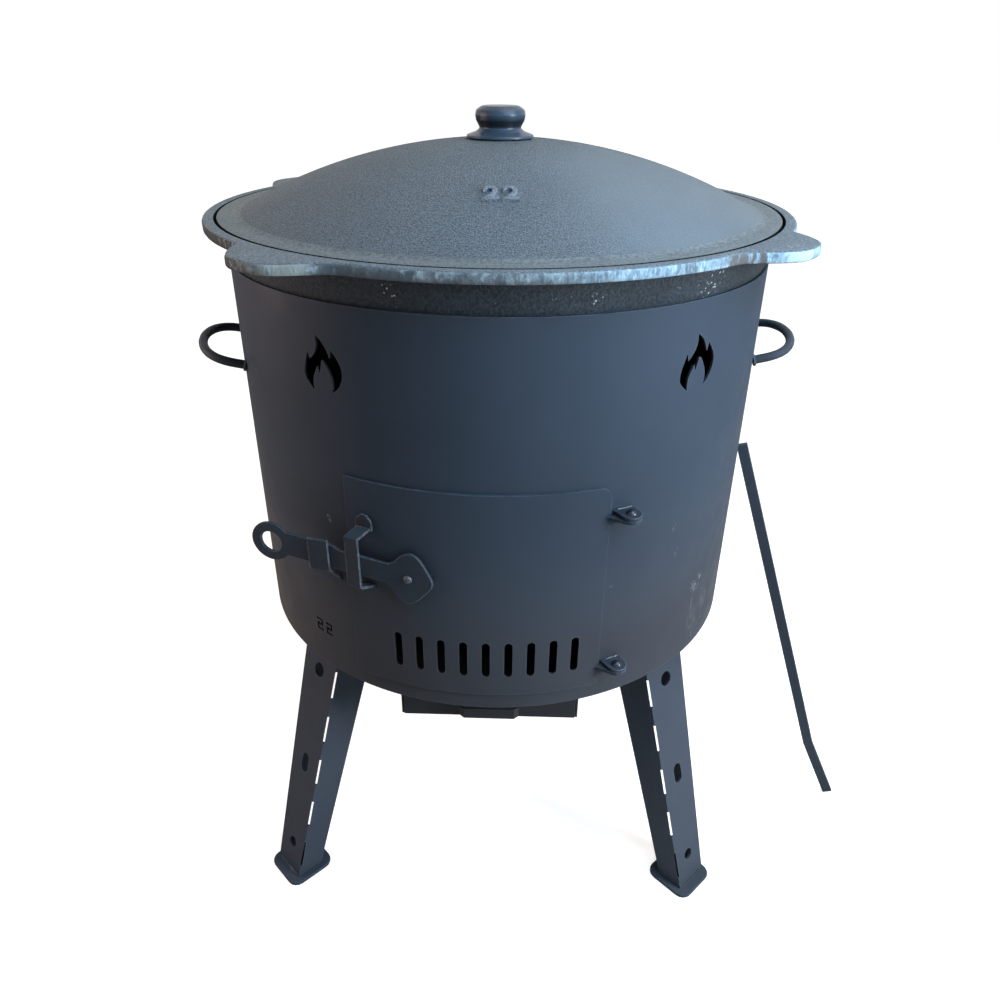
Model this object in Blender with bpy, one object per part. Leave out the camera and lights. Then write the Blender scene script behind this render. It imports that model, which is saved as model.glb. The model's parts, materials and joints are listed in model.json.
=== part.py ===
"""Cauldron stove: a round sheet-metal fire box on four legs, with a cast-iron cauldron and lid.

Lengths are metres, +Z is up and the ground is z = 0. Azimuths are degrees about the stove's
axis, 0 at the front (-Y) and growing towards +X. The drawer and the door face the front.
"""
from math import acos, asin, atan2, cos, degrees, hypot, pi, radians, sin, sqrt, tan

import bmesh
import bpy
from mathutils import Matrix, Vector

# Clearances
TOUCH = 0.0003          # gap between pieces that touch
RUNNING = 0.0008        # gap between pieces that slide or turn
OVERRUN = 0.004         # how far a cut runs past the face that it opens

# Fire box shell
SHELL_RADIUS = 0.242
SHELL_SHEET = 0.002
SHELL_HEIGHT = 0.349
SHELL_FROM_GROUND = 0.277
ROUND_STEPS = 72

# Flame vents in the shell
FLAME_COUNT = 5
FLAME_WIDTH = 0.0382
FLAME_HEIGHT = 0.0441
FLAME_FROM_SHELL_TOP = 0.0259
FLAME_HALF_PITCH_AZ = 36.0
UPPER_TURN_AZ = 4.6     # the vents and the carrying handles are turned a little from the legs
FLAME_SHARES = [
    (-0.10, 1.00), (0.03, 0.91), (0.13, 0.81), (0.22, 0.64), (0.27, 0.80), (0.39, 0.66),
    (0.48, 0.51), (0.50, 0.36), (0.44, 0.22), (0.35, 0.11), (0.22, 0.02), (0.25, 0.14),
    (0.24, 0.27), (0.17, 0.40), (0.07, 0.53), (0.00, 0.58), (-0.02, 0.48), (-0.08, 0.33),
    (-0.13, 0.45), (-0.18, 0.38), (-0.25, 0.25), (-0.28, 0.13), (-0.26, 0.00), (-0.39, 0.09),
    (-0.49, 0.20), (-0.50, 0.33), (-0.45, 0.49), (-0.37, 0.68), (-0.33, 0.55), (-0.24, 0.61),
    (-0.15, 0.72), (-0.10, 0.83)]

# Numerals cut in the shell
NUMERAL_HEIGHT = 0.0135
NUMERAL_WIDTH = 0.0085
NUMERAL_SPACING = 0.0045
NUMERAL_AZ = -39.0
NUMERAL_FROM_SHELL_BOTTOM = 0.036
NUMERAL_TWO_SHARES = [
    (-0.50, 1.00), (0.50, 1.00), (0.50, 0.42), (-0.26, 0.42), (-0.26, 0.16), (0.50, 0.16),
    (0.50, 0.00), (-0.50, 0.00), (-0.50, 0.58), (0.26, 0.58), (0.26, 0.84), (-0.50, 0.84)]

# Floor of the fire box, and the grate that lies on it
FLOOR_SHEET = 0.003
FLOOR_HOLE = 0.150
GRATE_SIDE = 0.186
GRATE_SHEET = 0.005
GRATE_SLOTS = 8
GRATE_SLOT_WIDTH = 0.009
GRATE_SLOT_LENGTH = 0.140

# Legs: channels of bent sheet, splayed out at 45 degrees, with a foot plate each
LEG_SHEET = 0.0025
LEG_AZ = 45.0
LEG_TOP_INSET = 0.026       # the bend at the top, inside the shell's outside
LEG_SPLAY = 0.0815          # how much farther out the bend is at the foot
LEG_BEND_OFFSET = 0.009
LEG_FACE_TOP = 0.0565
LEG_FACE_FOOT = 0.0395
LEG_WING_TOP = 0.044
LEG_WING_FOOT = 0.028
LEG_SLOT_COUNT = 5
LEG_SLOT_LENGTH = 0.0315
LEG_SLOT_WIDTH = 0.0021
LEG_SLOT_FIRST = 0.0305
LEG_SLOT_PITCH = 0.0494
LEG_TOP_HOLE = 0.0155
LEG_TOP_HOLE_DROP = 0.0423
LEG_LOW_HOLE = 0.012
LEG_LOW_HOLE_RISE = 0.034
LEG_WINDOW_WIDTH = 0.0115
LEG_WINDOW_LENGTH = 0.0225
LEG_WINDOW_DROP = 0.1472
FOOT_SIDE = 0.050
FOOT_SHEET = 0.004
FOOT_CORNER = 0.0105
FOOT_SHIFT = 0.0088     # the plate's centre lies this far along the leg's broad face
FOOT_INSET = 0.0147     # and this far behind the leg's bend

# Ash drawer, its pull and its two rails under the floor
DRAWER_WIDTH = 0.159
DRAWER_LENGTH = 0.300
DRAWER_HEIGHT = 0.0355
DRAWER_SHEET = 0.0015
DRAWER_FRONT_INSET = 0.030  # the tray's front, inside the shell's outside
DRAWER_HEADROOM = 0.003
RAIL_SHEET = 0.002
RAIL_LIP = 0.012
RAIL_LENGTH = 0.285
PULL_WIDTH = 0.054
PULL_HEIGHT = 0.011
PULL_REACH = 0.014
PULL_SHEET = 0.0025
PULL_DROP = 0.0147
PULL_CORNER = 0.004

# Fire door: a curved plate outside the shell
DOOR_SHEET = 0.002
DOOR_LEFT_AZ = -29.3
DOOR_RIGHT_AZ = 23.0
DOOR_FROM_SHELL_BOTTOM = 0.0165
DOOR_HEIGHT = 0.1965
DOOR_OVERLAP = 0.012
DOOR_CORNER = 0.011
AIR_SLOTS = 9
AIR_SLOT_WIDTH = 0.007
AIR_SLOT_HEIGHT = 0.036
AIR_SLOT_PITCH_AZ = 4.5
AIR_SLOT_MID_AZ = -0.5
AIR_SLOT_FROM_DOOR_BOTTOM = 0.038

# Door hinges: an ear on the shell over an ear on the door, round a dome-headed pin
HINGE_AZ = 26.1
HINGE_STANDOFF = 0.0105
HINGE_EAR_RADIUS = 0.0085
HINGE_EAR_SHEET = 0.003
HINGE_TOP_FROM_DOOR_TOP = 0.0253
HINGE_LOW_FROM_DOOR_BOTTOM = 0.0202
HINGE_PIN = 0.006
HINGE_PIN_HEAD = 0.0105
HINGE_PIN_DOME = 0.0035
HINGE_PIN_TAIL = 0.003
DOOR_EAR_ROOT_AZ = 22.2
DOOR_EAR_ROOT_WIDTH = 0.006

# Latch: a lever on a rivet, passing through a guide on the door and resting in a hook
LATCH_AZ = -15.2
LATCH_FROM_DOOR_BOTTOM = 0.1165
LATCH_SHEET = 0.003
LATCH_WASHER = 0.0015
LATCH_WASHER_DIA = 0.014
LATCH_RIVET = 0.006
LATCH_RIVET_HEAD = 0.0095
LATCH_RIVET_DOME = 0.0030
LATCH_RIVET_TAIL = 0.002
LATCH_REST_TILT = 6.2
LATCH_REACH = 0.1226
LATCH_BAR = 0.019
LATCH_RING = 0.036
LATCH_RING_HOLE = 0.019
LATCH_HEAD_LENGTH = 0.0375
LATCH_HEAD_HEIGHT = 0.0485
LATCH_HEAD_TIP = 0.0215
LATCH_HEAD_SHARES = [
    (0.00, 0.00), (-0.17, 0.25), (-0.37, 0.44), (-0.58, 0.50), (-0.78, 0.42), (-0.91, 0.28)]
GUIDE_AZ = -24.4
GUIDE_WIDTH = 0.0125
GUIDE_SHEET = 0.002
GUIDE_DEPTH = 0.021
GUIDE_TOP_RISE = 0.0395     # its outer top, above the latch's pivot
GUIDE_LOW_DROP = 0.0065     # its outer bottom at the front, under the pivot
GUIDE_ROOT_DROP = 0.0160    # and where it meets the door
GUIDE_TAB = 0.0125
HOOK_NEAR = 0.068           # the hook's span to the left of the pivot
HOOK_FAR = 0.0858
HOOK_SHEET = 0.002
HOOK_FACE_GAP = 0.0014
HOOK_TOP_RISE = 0.0253
HOOK_ROOT_DROP = 0.0300

# Carrying handles: bent round rod
HANDLE_AZ = 81.8
HANDLE_ROD = 0.008
HANDLE_HALF_SPAN = 0.052
HANDLE_DEPTH = 0.036
HANDLE_RISE = 0.009
HANDLE_FROM_SHELL_TOP = 0.085
HANDLE_ROUNDING_SHARE = 0.72
HANDLE_STEPS = 18
ROD_SIDES = 10

# Cauldron: a cast bowl hanging by its round wall in the mouth of the shell
BOWL_OVER_SHELL = 0.0114    # how much the bowl's ball is bigger than the shell
BOWL_WALL = 0.006
BOWL_SEAT_GAP = 0.00045     # between the bowl's wall and the shell's inner top edge
BOWL_BOTTOM_FLAT = 0.030
RIM_ABOVE_SHELL = 0.034
RIM_LIP = 0.0066            # how far the rim stands out past the bowl's ball
RIM_THICKNESS = 0.0085
RIM_ROUNDING = 0.0015
RIM_FLAT = 0.010            # width of the rim's top, outside the lid's recess
LID_RECESS_DEPTH = 0.0060
RECESS_LEDGE = 0.0085       # width of the ledge that the lid lies on
BOWL_STEPS = 8
CAULDRON_STEPS = 144

# Ears of the cauldron: four grips in the plane of its rim, blunt at one end
EAR_REACH = 0.030
EAR_TURN_AZ = 9.9
EAR_AZ = 45.0
EAR_BLUNT_AZ = 9.3
EAR_GENTLE_AZ = 11.5
EAR_FLAT_AZ = 1.6

# Lid: a flat band and a low dome, with a turned knob bolted on
LID_CLEARANCE = 0.0015
LID_THICKNESS = 0.0050
LID_BAND = 0.0165
LID_DOME_RISE = 0.0575
LID_STEPS = 7
LID_NUMERAL_HEIGHT = 0.0245
LID_NUMERAL_WIDTH = 0.0135
LID_NUMERAL_SPACING = 0.004
LID_NUMERAL_RELIEF = 0.0012
LID_NUMERAL_REACH = 0.162
LID_NUMERAL_AZ = 4.6
KNOB_FLANGE = 0.059
KNOB_WAIST = 0.0375
KNOB_TOP = 0.043
KNOB_HEIGHT = 0.0255
KNOB_SCREW = 0.008
KNOB_SCREW_DEPTH = 0.012
KNOB_NUT = 0.015
KNOB_NUT_HEIGHT = 0.0065
KNOB_BLIND_SHARE = 0.70     # how far up the knob its screw goes
KNOB_STEPS = 32

# Poker: a flat bar leaning on the shell's right side
POKER_WIDTH = 0.0105
POKER_SHEET = 0.004
POKER_AZ = 82.0
POKER_LEAN_AZ = 75.5        # the plane that it leans in, turned forwards from the radius
POKER_TOP_HEIGHT = 0.440
POKER_BEND_HEIGHT = 0.0703
POKER_BEND_OUT = 0.1300
POKER_FOOT_OUT = 0.0350

# Places worked out from the sizes above
SHELL_INSIDE = SHELL_RADIUS - SHELL_SHEET
SHELL_BOTTOM = SHELL_FROM_GROUND
SHELL_TOP = SHELL_BOTTOM + SHELL_HEIGHT
RIM_TOP = SHELL_TOP + RIM_ABOVE_SHELL
BOWL_RADIUS = SHELL_RADIUS + BOWL_OVER_SHELL
RIM_RADIUS = BOWL_RADIUS + RIM_LIP
LID_RECESS_RADIUS = RIM_RADIUS - RIM_FLAT
BOWL_MOUTH_RADIUS = LID_RECESS_RADIUS - RECESS_LEDGE
LEG_TOP_REACH = SHELL_RADIUS - LEG_TOP_INSET
LEG_FOOT_REACH = LEG_TOP_REACH + LEG_SPLAY
DRAWER_FRONT_REACH = SHELL_RADIUS - DRAWER_FRONT_INSET
DOOR_INSIDE = SHELL_RADIUS + TOUCH
DOOR_OUTSIDE = DOOR_INSIDE + DOOR_SHEET
DOOR_BOTTOM = SHELL_BOTTOM + DOOR_FROM_SHELL_BOTTOM
DOOR_TOP = DOOR_BOTTOM + DOOR_HEIGHT
HINGE_RADIUS = SHELL_RADIUS + HINGE_STANDOFF
LATCH_HEIGHT = DOOR_BOTTOM + LATCH_FROM_DOOR_BOTTOM
LATCH_INSIDE = DOOR_OUTSIDE + LATCH_WASHER + 2 * TOUCH
LATCH_OUTSIDE = LATCH_INSIDE + LATCH_SHEET


def clear_scene():
    for old in list(bpy.data.objects):
        bpy.data.objects.remove(old, do_unlink=True)


def finish(name, colour, roughness, metallic):
    """A plain Principled material of its own for one sub-part."""
    material = bpy.data.materials.new(name)
    material.use_nodes = True
    shader = material.node_tree.nodes["Principled BSDF"]
    shader.inputs["Base Color"].default_value = (*colour, 1)
    shader.inputs["Roughness"].default_value = roughness
    shader.inputs["Metallic"].default_value = metallic
    material.diffuse_color = (*colour, 1)
    return material


PAINT = ((0.045, 0.056, 0.070), 0.45, 0.3)
IRON = ((0.070, 0.080, 0.090), 0.60, 0.5)
DARK = ((0.020, 0.026, 0.034), 0.35, 0.3)
STEEL = ((0.25, 0.26, 0.27), 0.40, 0.9)


def add_object(name, shape, look, place=None, smooth_angle=None):
    """Makes a named object of a bmesh, with its faces out and a material of its own."""
    bmesh.ops.recalc_face_normals(shape, faces=shape.faces)
    mesh = bpy.data.meshes.new(name)
    shape.to_mesh(mesh)
    shape.free()
    made = bpy.data.objects.new(name, mesh)
    bpy.context.scene.collection.objects.link(made)
    if place is not None:
        made.matrix_world = place
    if look is not None:
        mesh.materials.append(finish(name, *look))
    if smooth_angle is not None:
        mesh.shade_smooth()
        mesh.set_sharp_from_angle(angle=radians(smooth_angle))
    return made


def add_boolean(target, shape, operation, place=None):
    """Cuts or joins a bmesh, given in the same local axes, with a Boolean modifier."""
    count = len(target.modifiers) + 1
    tool = add_object(f"{target.name}_{operation.lower()}_{count}", shape, None, place)
    tool.hide_render = True
    tool.display_type = "WIRE"
    modifier = target.modifiers.new(operation.title(), "BOOLEAN")
    modifier.operation = operation
    modifier.solver = "EXACT"
    modifier.object = tool


def cut(target, shape, place=None):
    add_boolean(target, shape, "DIFFERENCE", place)


def at_azimuth(angle, reach=0.0, height=0.0):
    """Local axes at an azimuth: +X to the right, +Y inwards, +Z up, seen from outside."""
    return Matrix.Rotation(radians(angle), 4, "Z") @ Matrix.Translation((0, -reach, height))


def gather(*shapes):
    """Puts several bmeshes in one, as separate solids."""
    whole = bmesh.new()
    for shape in shapes:
        holder = bpy.data.meshes.new("holder")
        shape.to_mesh(holder)
        whole.from_mesh(holder)
        bpy.data.meshes.remove(holder)
        shape.free()
    return whole


def moved(shape, matrix):
    bmesh.ops.transform(shape, matrix=matrix, verts=shape.verts)
    return shape


def extruded(outline, axes, start, stop):
    """A solid from a flat outline; axes are the outline's two directions and its depth's."""
    across, along, depth = (Vector(axis) for axis in axes)
    shape = bmesh.new()
    face = shape.faces.new(
        [shape.verts.new(across * a + along * b + depth * start) for a, b in outline])
    made = bmesh.ops.extrude_face_region(shape, geom=[face])["geom"]
    verts = [item for item in made if isinstance(item, bmesh.types.BMVert)]
    bmesh.ops.translate(shape, verts=verts, vec=depth * (stop - start))
    bmesh.ops.recalc_face_normals(shape, faces=shape.faces)
    return shape


def upright_plate(outline, start, stop):
    """An outline in x and z, from y = start to y = stop."""
    return extruded(outline, ((1, 0, 0), (0, 0, 1), (0, 1, 0)), start, stop)


def flat_plate(outline, start, stop):
    """An outline in x and y, from z = start to z = stop."""
    return extruded(outline, ((1, 0, 0), (0, 1, 0), (0, 0, 1)), start, stop)


def side_plate(outline, start, stop):
    """An outline in y and z, from x = start to x = stop."""
    return extruded(outline, ((0, 1, 0), (0, 0, 1), (1, 0, 0)), start, stop)


def rectangle(left, right, low, high):
    return [(left, low), (right, low), (right, high), (left, high)]


def arc(centre, radius, start, stop, steps):
    """Points of an arc, with its angles in degrees."""
    turns = [radians(start + (stop - start) * step / steps) for step in range(steps + 1)]
    return [(centre[0] + radius * cos(turn), centre[1] + radius * sin(turn)) for turn in turns]


def circle(radius, steps, centre=(0, 0)):
    return arc(centre, radius, 0, 360, steps)[:-1]


def obround(width, length, centre=(0, 0), steps=6):
    """A slot with round ends, its length along the second direction."""
    reach = (length - width) / 2
    top = arc((centre[0], centre[1] + reach), width / 2, 0, 180, steps)
    bottom = arc((centre[0], centre[1] - reach), width / 2, 180, 360, steps)
    return top + bottom


def rounded_square(side, corner, centre=(0, 0), steps=4):
    """A square outline with quarter-circle corners."""
    inner = side / 2 - corner
    points = []
    for turn, (sign_x, sign_y) in enumerate([(1, 1), (-1, 1), (-1, -1), (1, -1)]):
        middle = (centre[0] + sign_x * inner, centre[1] + sign_y * inner)
        points += arc(middle, corner, 90 * turn, 90 * turn + 90, steps)
    return points


def thick_path(points, thickness):
    """The outline of a strip that follows points, lying wholly on the path's left side."""
    offsets = []
    for index, point in enumerate(points):
        before = Vector(point) - Vector(points[index - 1]) if index else None
        after = Vector(points[index + 1]) - Vector(point) if index + 1 < len(points) else None
        sides = [Vector((-run.y, run.x)).normalized() for run in (before, after) if run]
        middle = sum(sides, Vector((0, 0))) / len(sides)
        offsets.append(Vector(point) + middle * (thickness / middle.length_squared))
    return list(points) + [tuple(offset) for offset in reversed(offsets)]


def turned(profile, steps, closed=True):
    """A solid of revolution about Z from (radius, height) points; an open one ends on Z."""
    shape = bmesh.new()
    verts = [shape.verts.new((radius, 0, height)) for radius, height in profile]
    pairs = list(zip(verts, verts[1:])) + ([(verts[-1], verts[0])] if closed else [])
    edges = [shape.edges.new(pair) for pair in pairs]
    bmesh.ops.spin(shape, geom=verts + edges, cent=(0, 0, 0), axis=(0, 0, 1), dvec=(0, 0, 0),
                   angle=2 * pi, steps=steps, use_merge=True, use_duplicate=False)
    smallest = min(radius for radius, height in profile if radius > 0)
    poles = [vert for vert in shape.verts if hypot(vert.co.x, vert.co.y) < smallest / 2]
    bmesh.ops.remove_doubles(shape, verts=poles, dist=smallest / 10)
    bmesh.ops.recalc_face_normals(shape, faces=shape.faces)
    return shape


def drum(radius, low, high, steps=ROUND_STEPS):
    return flat_plate(circle(radius, steps), low, high)


def curved_plate(inside, outside, left, right, low, high, steps):
    """A plate bent round the stove's axis, between two azimuths."""
    outer = arc((0, 0), outside, left - 90, right - 90, steps)
    inner = arc((0, 0), inside, right - 90, left - 90, steps)
    return flat_plate(outer + inner, low, high)


def bent_rod(path, radius, sides):
    """A round rod along a flat path of (x, y) points, with flat ends."""
    shape = bmesh.new()
    rings = []
    for index, point in enumerate(path):
        before = Vector(path[max(index - 1, 0)])
        after = Vector(path[min(index + 1, len(path) - 1)])
        run = (after - before).normalized()
        side = Vector((-run.y, run.x, 0))
        ring = []
        for step in range(sides):
            turn = 2 * pi * step / sides
            spot = Vector((point[0], point[1], 0)) + side * (radius * cos(turn))
            ring.append(shape.verts.new(spot + Vector((0, 0, radius * sin(turn)))))
        rings.append(ring)
    for near, far in zip(rings, rings[1:]):
        for step in range(sides):
            other = (step + 1) % sides
            shape.faces.new((near[step], near[other], far[other], far[step]))
    shape.faces.new(rings[0])
    shape.faces.new(rings[-1])
    bmesh.ops.recalc_face_normals(shape, faces=shape.faces)
    return shape


def scaled(shares, width, height, centre=(0, 0)):
    return [(centre[0] + x * width, centre[1] + z * height) for x, z in shares]


def numerals(width, height, spacing, start, stop):
    """The plain numerals 22, as two upright solids."""
    step = (width + spacing) / 2
    return gather(*(upright_plate(scaled(NUMERAL_TWO_SHARES, width, height, (side * step, 0)),
                                  start, stop) for side in (-1, 1)))


def make_shell():
    """The rolled sheet with its flame vents, numerals and fire opening."""
    profile = [(SHELL_RADIUS, SHELL_TOP), (SHELL_RADIUS, SHELL_BOTTOM),
               (SHELL_INSIDE, SHELL_BOTTOM), (SHELL_INSIDE, SHELL_TOP)]
    shell = add_object("body_shell", turned(profile, ROUND_STEPS), PAINT, smooth_angle=30)
    depth = SHELL_SHEET + OVERRUN
    flame_low = SHELL_TOP - FLAME_FROM_SHELL_TOP - FLAME_HEIGHT
    vents = []
    for index in range(FLAME_COUNT):
        angle = UPPER_TURN_AZ + FLAME_HALF_PITCH_AZ * (2 * index + 1)
        outline = scaled(FLAME_SHARES, FLAME_WIDTH, FLAME_HEIGHT)
        place = at_azimuth(angle, SHELL_RADIUS, flame_low)
        vents.append(moved(upright_plate(outline, -OVERRUN, depth), place))
    number = numerals(NUMERAL_WIDTH, NUMERAL_HEIGHT, NUMERAL_SPACING, -OVERRUN, depth)
    number_low = SHELL_BOTTOM + NUMERAL_FROM_SHELL_BOTTOM
    vents.append(moved(number, at_azimuth(NUMERAL_AZ, SHELL_RADIUS, number_low)))
    margin = degrees(DOOR_OVERLAP / SHELL_RADIUS)
    vents.append(curved_plate(SHELL_INSIDE - OVERRUN, SHELL_RADIUS + OVERRUN,
                              DOOR_LEFT_AZ + margin, DOOR_RIGHT_AZ - margin,
                              DOOR_BOTTOM + DOOR_OVERLAP, DOOR_TOP - DOOR_OVERLAP, 12))
    cut(shell, gather(*vents))


def make_floor():
    """The floor disc with its ash hole, and the slotted grate that lies over the hole."""
    floor_top = SHELL_BOTTOM + FLOOR_SHEET
    plate = drum(SHELL_INSIDE - TOUCH, SHELL_BOTTOM, floor_top)
    floor = add_object("floor_plate", plate, PAINT)
    half_hole = FLOOR_HOLE / 2
    hole = rectangle(-half_hole, half_hole, -half_hole, half_hole)
    cut(floor, flat_plate(hole, SHELL_BOTTOM - OVERRUN, floor_top + OVERRUN))
    half = GRATE_SIDE / 2
    grate_plate = flat_plate(rectangle(-half, half, -half, half), 0, GRATE_SHEET)
    place = Matrix.Translation((0, 0, floor_top + TOUCH))
    grate = add_object("fire_grate", grate_plate, IRON, place)
    pitch = GRATE_SLOT_LENGTH / GRATE_SLOTS
    middles = [(index - (GRATE_SLOTS - 1) / 2) * pitch for index in range(GRATE_SLOTS)]
    slots = [flat_plate(obround(GRATE_SLOT_WIDTH, GRATE_SLOT_LENGTH, (middle, 0), 3),
                        -OVERRUN, GRATE_SHEET + OVERRUN) for middle in middles]
    cut(grate, gather(*slots), place)


LEG_TOP = SHELL_BOTTOM - TOUCH
LEG_FOOT = FOOT_SHEET + TOUCH


def leg_section(height):
    """Where the leg's bend is at a height, and how wide its face and its wings are there."""
    share = (LEG_TOP - height) / (LEG_TOP - LEG_FOOT)
    reach = LEG_TOP_REACH + (LEG_FOOT_REACH - LEG_TOP_REACH) * share
    face = LEG_FACE_TOP + (LEG_FACE_FOOT - LEG_FACE_TOP) * share
    wing = LEG_WING_TOP + (LEG_WING_FOOT - LEG_WING_TOP) * share
    return reach, face, wing


def leg_shape():
    """One leg: its broad face runs to +X from the front bend, and a wing inwards at each end."""
    shape = bmesh.new()
    rings = []
    for height in (LEG_FOOT, LEG_TOP):
        reach, face, wing = leg_section(height)
        left, right = -LEG_BEND_OFFSET, face - LEG_BEND_OFFSET
        outer, inner = -reach, wing - reach
        corners = [(left, outer), (right, outer), (right, inner), (right - LEG_SHEET, inner),
                   (right - LEG_SHEET, outer + LEG_SHEET), (left + LEG_SHEET, outer + LEG_SHEET),
                   (left + LEG_SHEET, inner), (left, inner)]
        rings.append([shape.verts.new((x, y, height)) for x, y in corners])
    low, high = rings
    for index in range(len(low)):
        other = (index + 1) % len(low)
        shape.faces.new((low[index], low[other], high[other], high[index]))
    shape.faces.new(low)
    shape.faces.new(high)
    bmesh.ops.recalc_face_normals(shape, faces=shape.faces)
    return shape


def leg_cuts():
    """The slots along the bend, two round holes and a window in the broad face."""
    lean = atan2(LEG_FOOT_REACH - LEG_TOP_REACH, LEG_TOP - LEG_FOOT)
    cuts = []

    def placed(shape, drop, across):
        height = LEG_TOP - drop
        reach, face, _ = leg_section(height)
        spot = Vector((across * face - LEG_BEND_OFFSET, -reach, height))
        return moved(shape, Matrix.Translation(spot) @ Matrix.Rotation(-lean, 4, "X"))

    half_slot, half_length = LEG_SLOT_WIDTH / 2, LEG_SLOT_LENGTH / 2
    for index in range(LEG_SLOT_COUNT):
        drop = LEG_SLOT_FIRST + half_length + LEG_SLOT_PITCH * index
        outline = rectangle(-half_slot, half_slot, -half_length, half_length)
        slot = upright_plate(outline, -OVERRUN, LEG_SHEET * 2 + OVERRUN)
        cuts.append(placed(moved(slot, Matrix.Rotation(radians(-45), 4, "Z")), drop, 0))
    depth = LEG_SHEET + OVERRUN
    top_hole = upright_plate(circle(LEG_TOP_HOLE / 2, 16), -OVERRUN, depth)
    cuts.append(placed(top_hole, LEG_TOP_HOLE_DROP, 0.5))
    low_hole = upright_plate(circle(LEG_LOW_HOLE / 2, 16), -OVERRUN, depth)
    cuts.append(placed(low_hole, LEG_TOP - LEG_LOW_HOLE_RISE, 0.5))
    window = upright_plate(obround(LEG_WINDOW_WIDTH, LEG_WINDOW_LENGTH), -OVERRUN, depth)
    cuts.append(placed(window, LEG_WINDOW_DROP, 0.5))
    return gather(*cuts)


def foot_shape():
    middle = (FOOT_SHIFT, FOOT_INSET - LEG_FOOT_REACH)
    return flat_plate(rounded_square(FOOT_SIDE, FOOT_CORNER, middle), 0, FOOT_SHEET)


def make_legs():
    """Four legs with foot plates; left ones mirror right ones, back ones mirror front ones."""
    for name, side, end in (("front_left", -1, 1), ("front_right", 1, 1),
                            ("back_left", -1, -1), ("back_right", 1, -1)):
        mirror = Matrix.Diagonal((side, end, 1, 1))
        place = mirror @ at_azimuth(LEG_AZ)
        leg = add_object(f"leg_{name}", moved(leg_shape(), place), PAINT)
        cut(leg, moved(leg_cuts(), place))
        add_object(f"foot_plate_{name}", moved(foot_shape(), place), PAINT)


DRAWER_TOP = SHELL_BOTTOM - DRAWER_HEADROOM
DRAWER_BOTTOM = DRAWER_TOP - DRAWER_HEIGHT


def make_drawer():
    """The ash tray, with its pull bent out in front, and the two rails that carry it."""
    half, sheet = DRAWER_WIDTH / 2, DRAWER_SHEET
    box = flat_plate(rectangle(-half, half, 0, DRAWER_LENGTH), DRAWER_BOTTOM, DRAWER_TOP)
    place = Matrix.Translation((0, -DRAWER_FRONT_REACH, 0))
    drawer = add_object("ash_drawer", box, PAINT, place)
    hollow = rectangle(sheet - half, half - sheet, sheet, DRAWER_LENGTH - sheet)
    cut(drawer, flat_plate(hollow, DRAWER_BOTTOM + sheet, DRAWER_TOP + OVERRUN), place)

    half_pull = PULL_WIDTH / 2
    path = [(-half_pull, -TOUCH), (-half_pull, PULL_CORNER - PULL_REACH),
            (PULL_CORNER - half_pull, -PULL_REACH), (half_pull - PULL_CORNER, -PULL_REACH),
            (half_pull, PULL_CORNER - PULL_REACH), (half_pull, -TOUCH)]
    pull_top = DRAWER_TOP - PULL_DROP
    pull = flat_plate(thick_path(path, PULL_SHEET), pull_top - PULL_HEIGHT, pull_top)
    add_object("drawer_pull", pull, PAINT, place)

    rail_front = DRAWER_FRONT_REACH - DRAWER_SHEET
    for name, side in (("left", -1), ("right", 1)):
        web = half + RUNNING
        low = DRAWER_BOTTOM - TOUCH
        path = [(half - RAIL_LIP, low), (web, low), (web, SHELL_BOTTOM - TOUCH)]
        outline = thick_path(path[::-1], RAIL_SHEET)
        outline = [(side * x, z) for x, z in outline]
        rail = upright_plate(outline, RAIL_SHEET - rail_front, RAIL_LENGTH - rail_front)
        add_object(f"drawer_rail_{name}", rail, PAINT)


def make_door():
    """The curved door with a row of air slots where the air comes in."""
    plate = curved_plate(DOOR_INSIDE, DOOR_OUTSIDE, DOOR_LEFT_AZ, DOOR_RIGHT_AZ,
                         DOOR_BOTTOM, DOOR_TOP, 14)
    hinge = at_azimuth(HINGE_AZ, HINGE_RADIUS)
    to_hinge = Matrix.Translation(hinge.translation)
    door = add_object("fire_door", moved(plate, to_hinge.inverted()), PAINT, to_hinge,
                      smooth_angle=30)
    cuts = []
    slot_middle = DOOR_BOTTOM + AIR_SLOT_FROM_DOOR_BOTTOM
    for index in range(AIR_SLOTS):
        angle = AIR_SLOT_MID_AZ + AIR_SLOT_PITCH_AZ * (index - (AIR_SLOTS - 1) / 2)
        slot = upright_plate(obround(AIR_SLOT_WIDTH, AIR_SLOT_HEIGHT, steps=4),
                             -OVERRUN, DOOR_SHEET + OVERRUN)
        cuts.append(moved(slot, at_azimuth(angle, DOOR_OUTSIDE, slot_middle)))
    corner = arc((-DOOR_CORNER, -DOOR_CORNER), DOOR_CORNER, 90, 0, 5)
    corner += [(OVERRUN, -DOOR_CORNER), (OVERRUN, OVERRUN), (-DOOR_CORNER, OVERRUN)]
    corner_cut = upright_plate(corner, -OVERRUN, DOOR_SHEET + OVERRUN)
    cuts.append(moved(corner_cut, at_azimuth(DOOR_RIGHT_AZ, DOOR_OUTSIDE, DOOR_TOP)))
    rivet_hole = upright_plate(circle(LATCH_RIVET / 2 + TOUCH, 16), -OVERRUN,
                               DOOR_SHEET + OVERRUN)
    cuts.append(moved(rivet_hole, at_azimuth(LATCH_AZ, DOOR_OUTSIDE, LATCH_HEIGHT)))
    cut(door, gather(*cuts))


def ear_outline(root_x, root_y, root_width):
    """A teardrop in plan: round at the pin, and straight to a root on the plate behind."""
    reach = hypot(root_x, root_y)
    along = degrees(atan2(root_y, root_x))
    lean = degrees(acos(min((HINGE_EAR_RADIUS - root_width / 2) / reach, 1)))
    round_end = arc((0, 0), HINGE_EAR_RADIUS, along + lean, along + 360 - lean, 14)
    side = Vector((-root_y, root_x)) / reach * (root_width / 2)
    root = Vector((root_x, root_y))
    return round_end + [tuple(root - side), tuple(root + side)]


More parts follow.
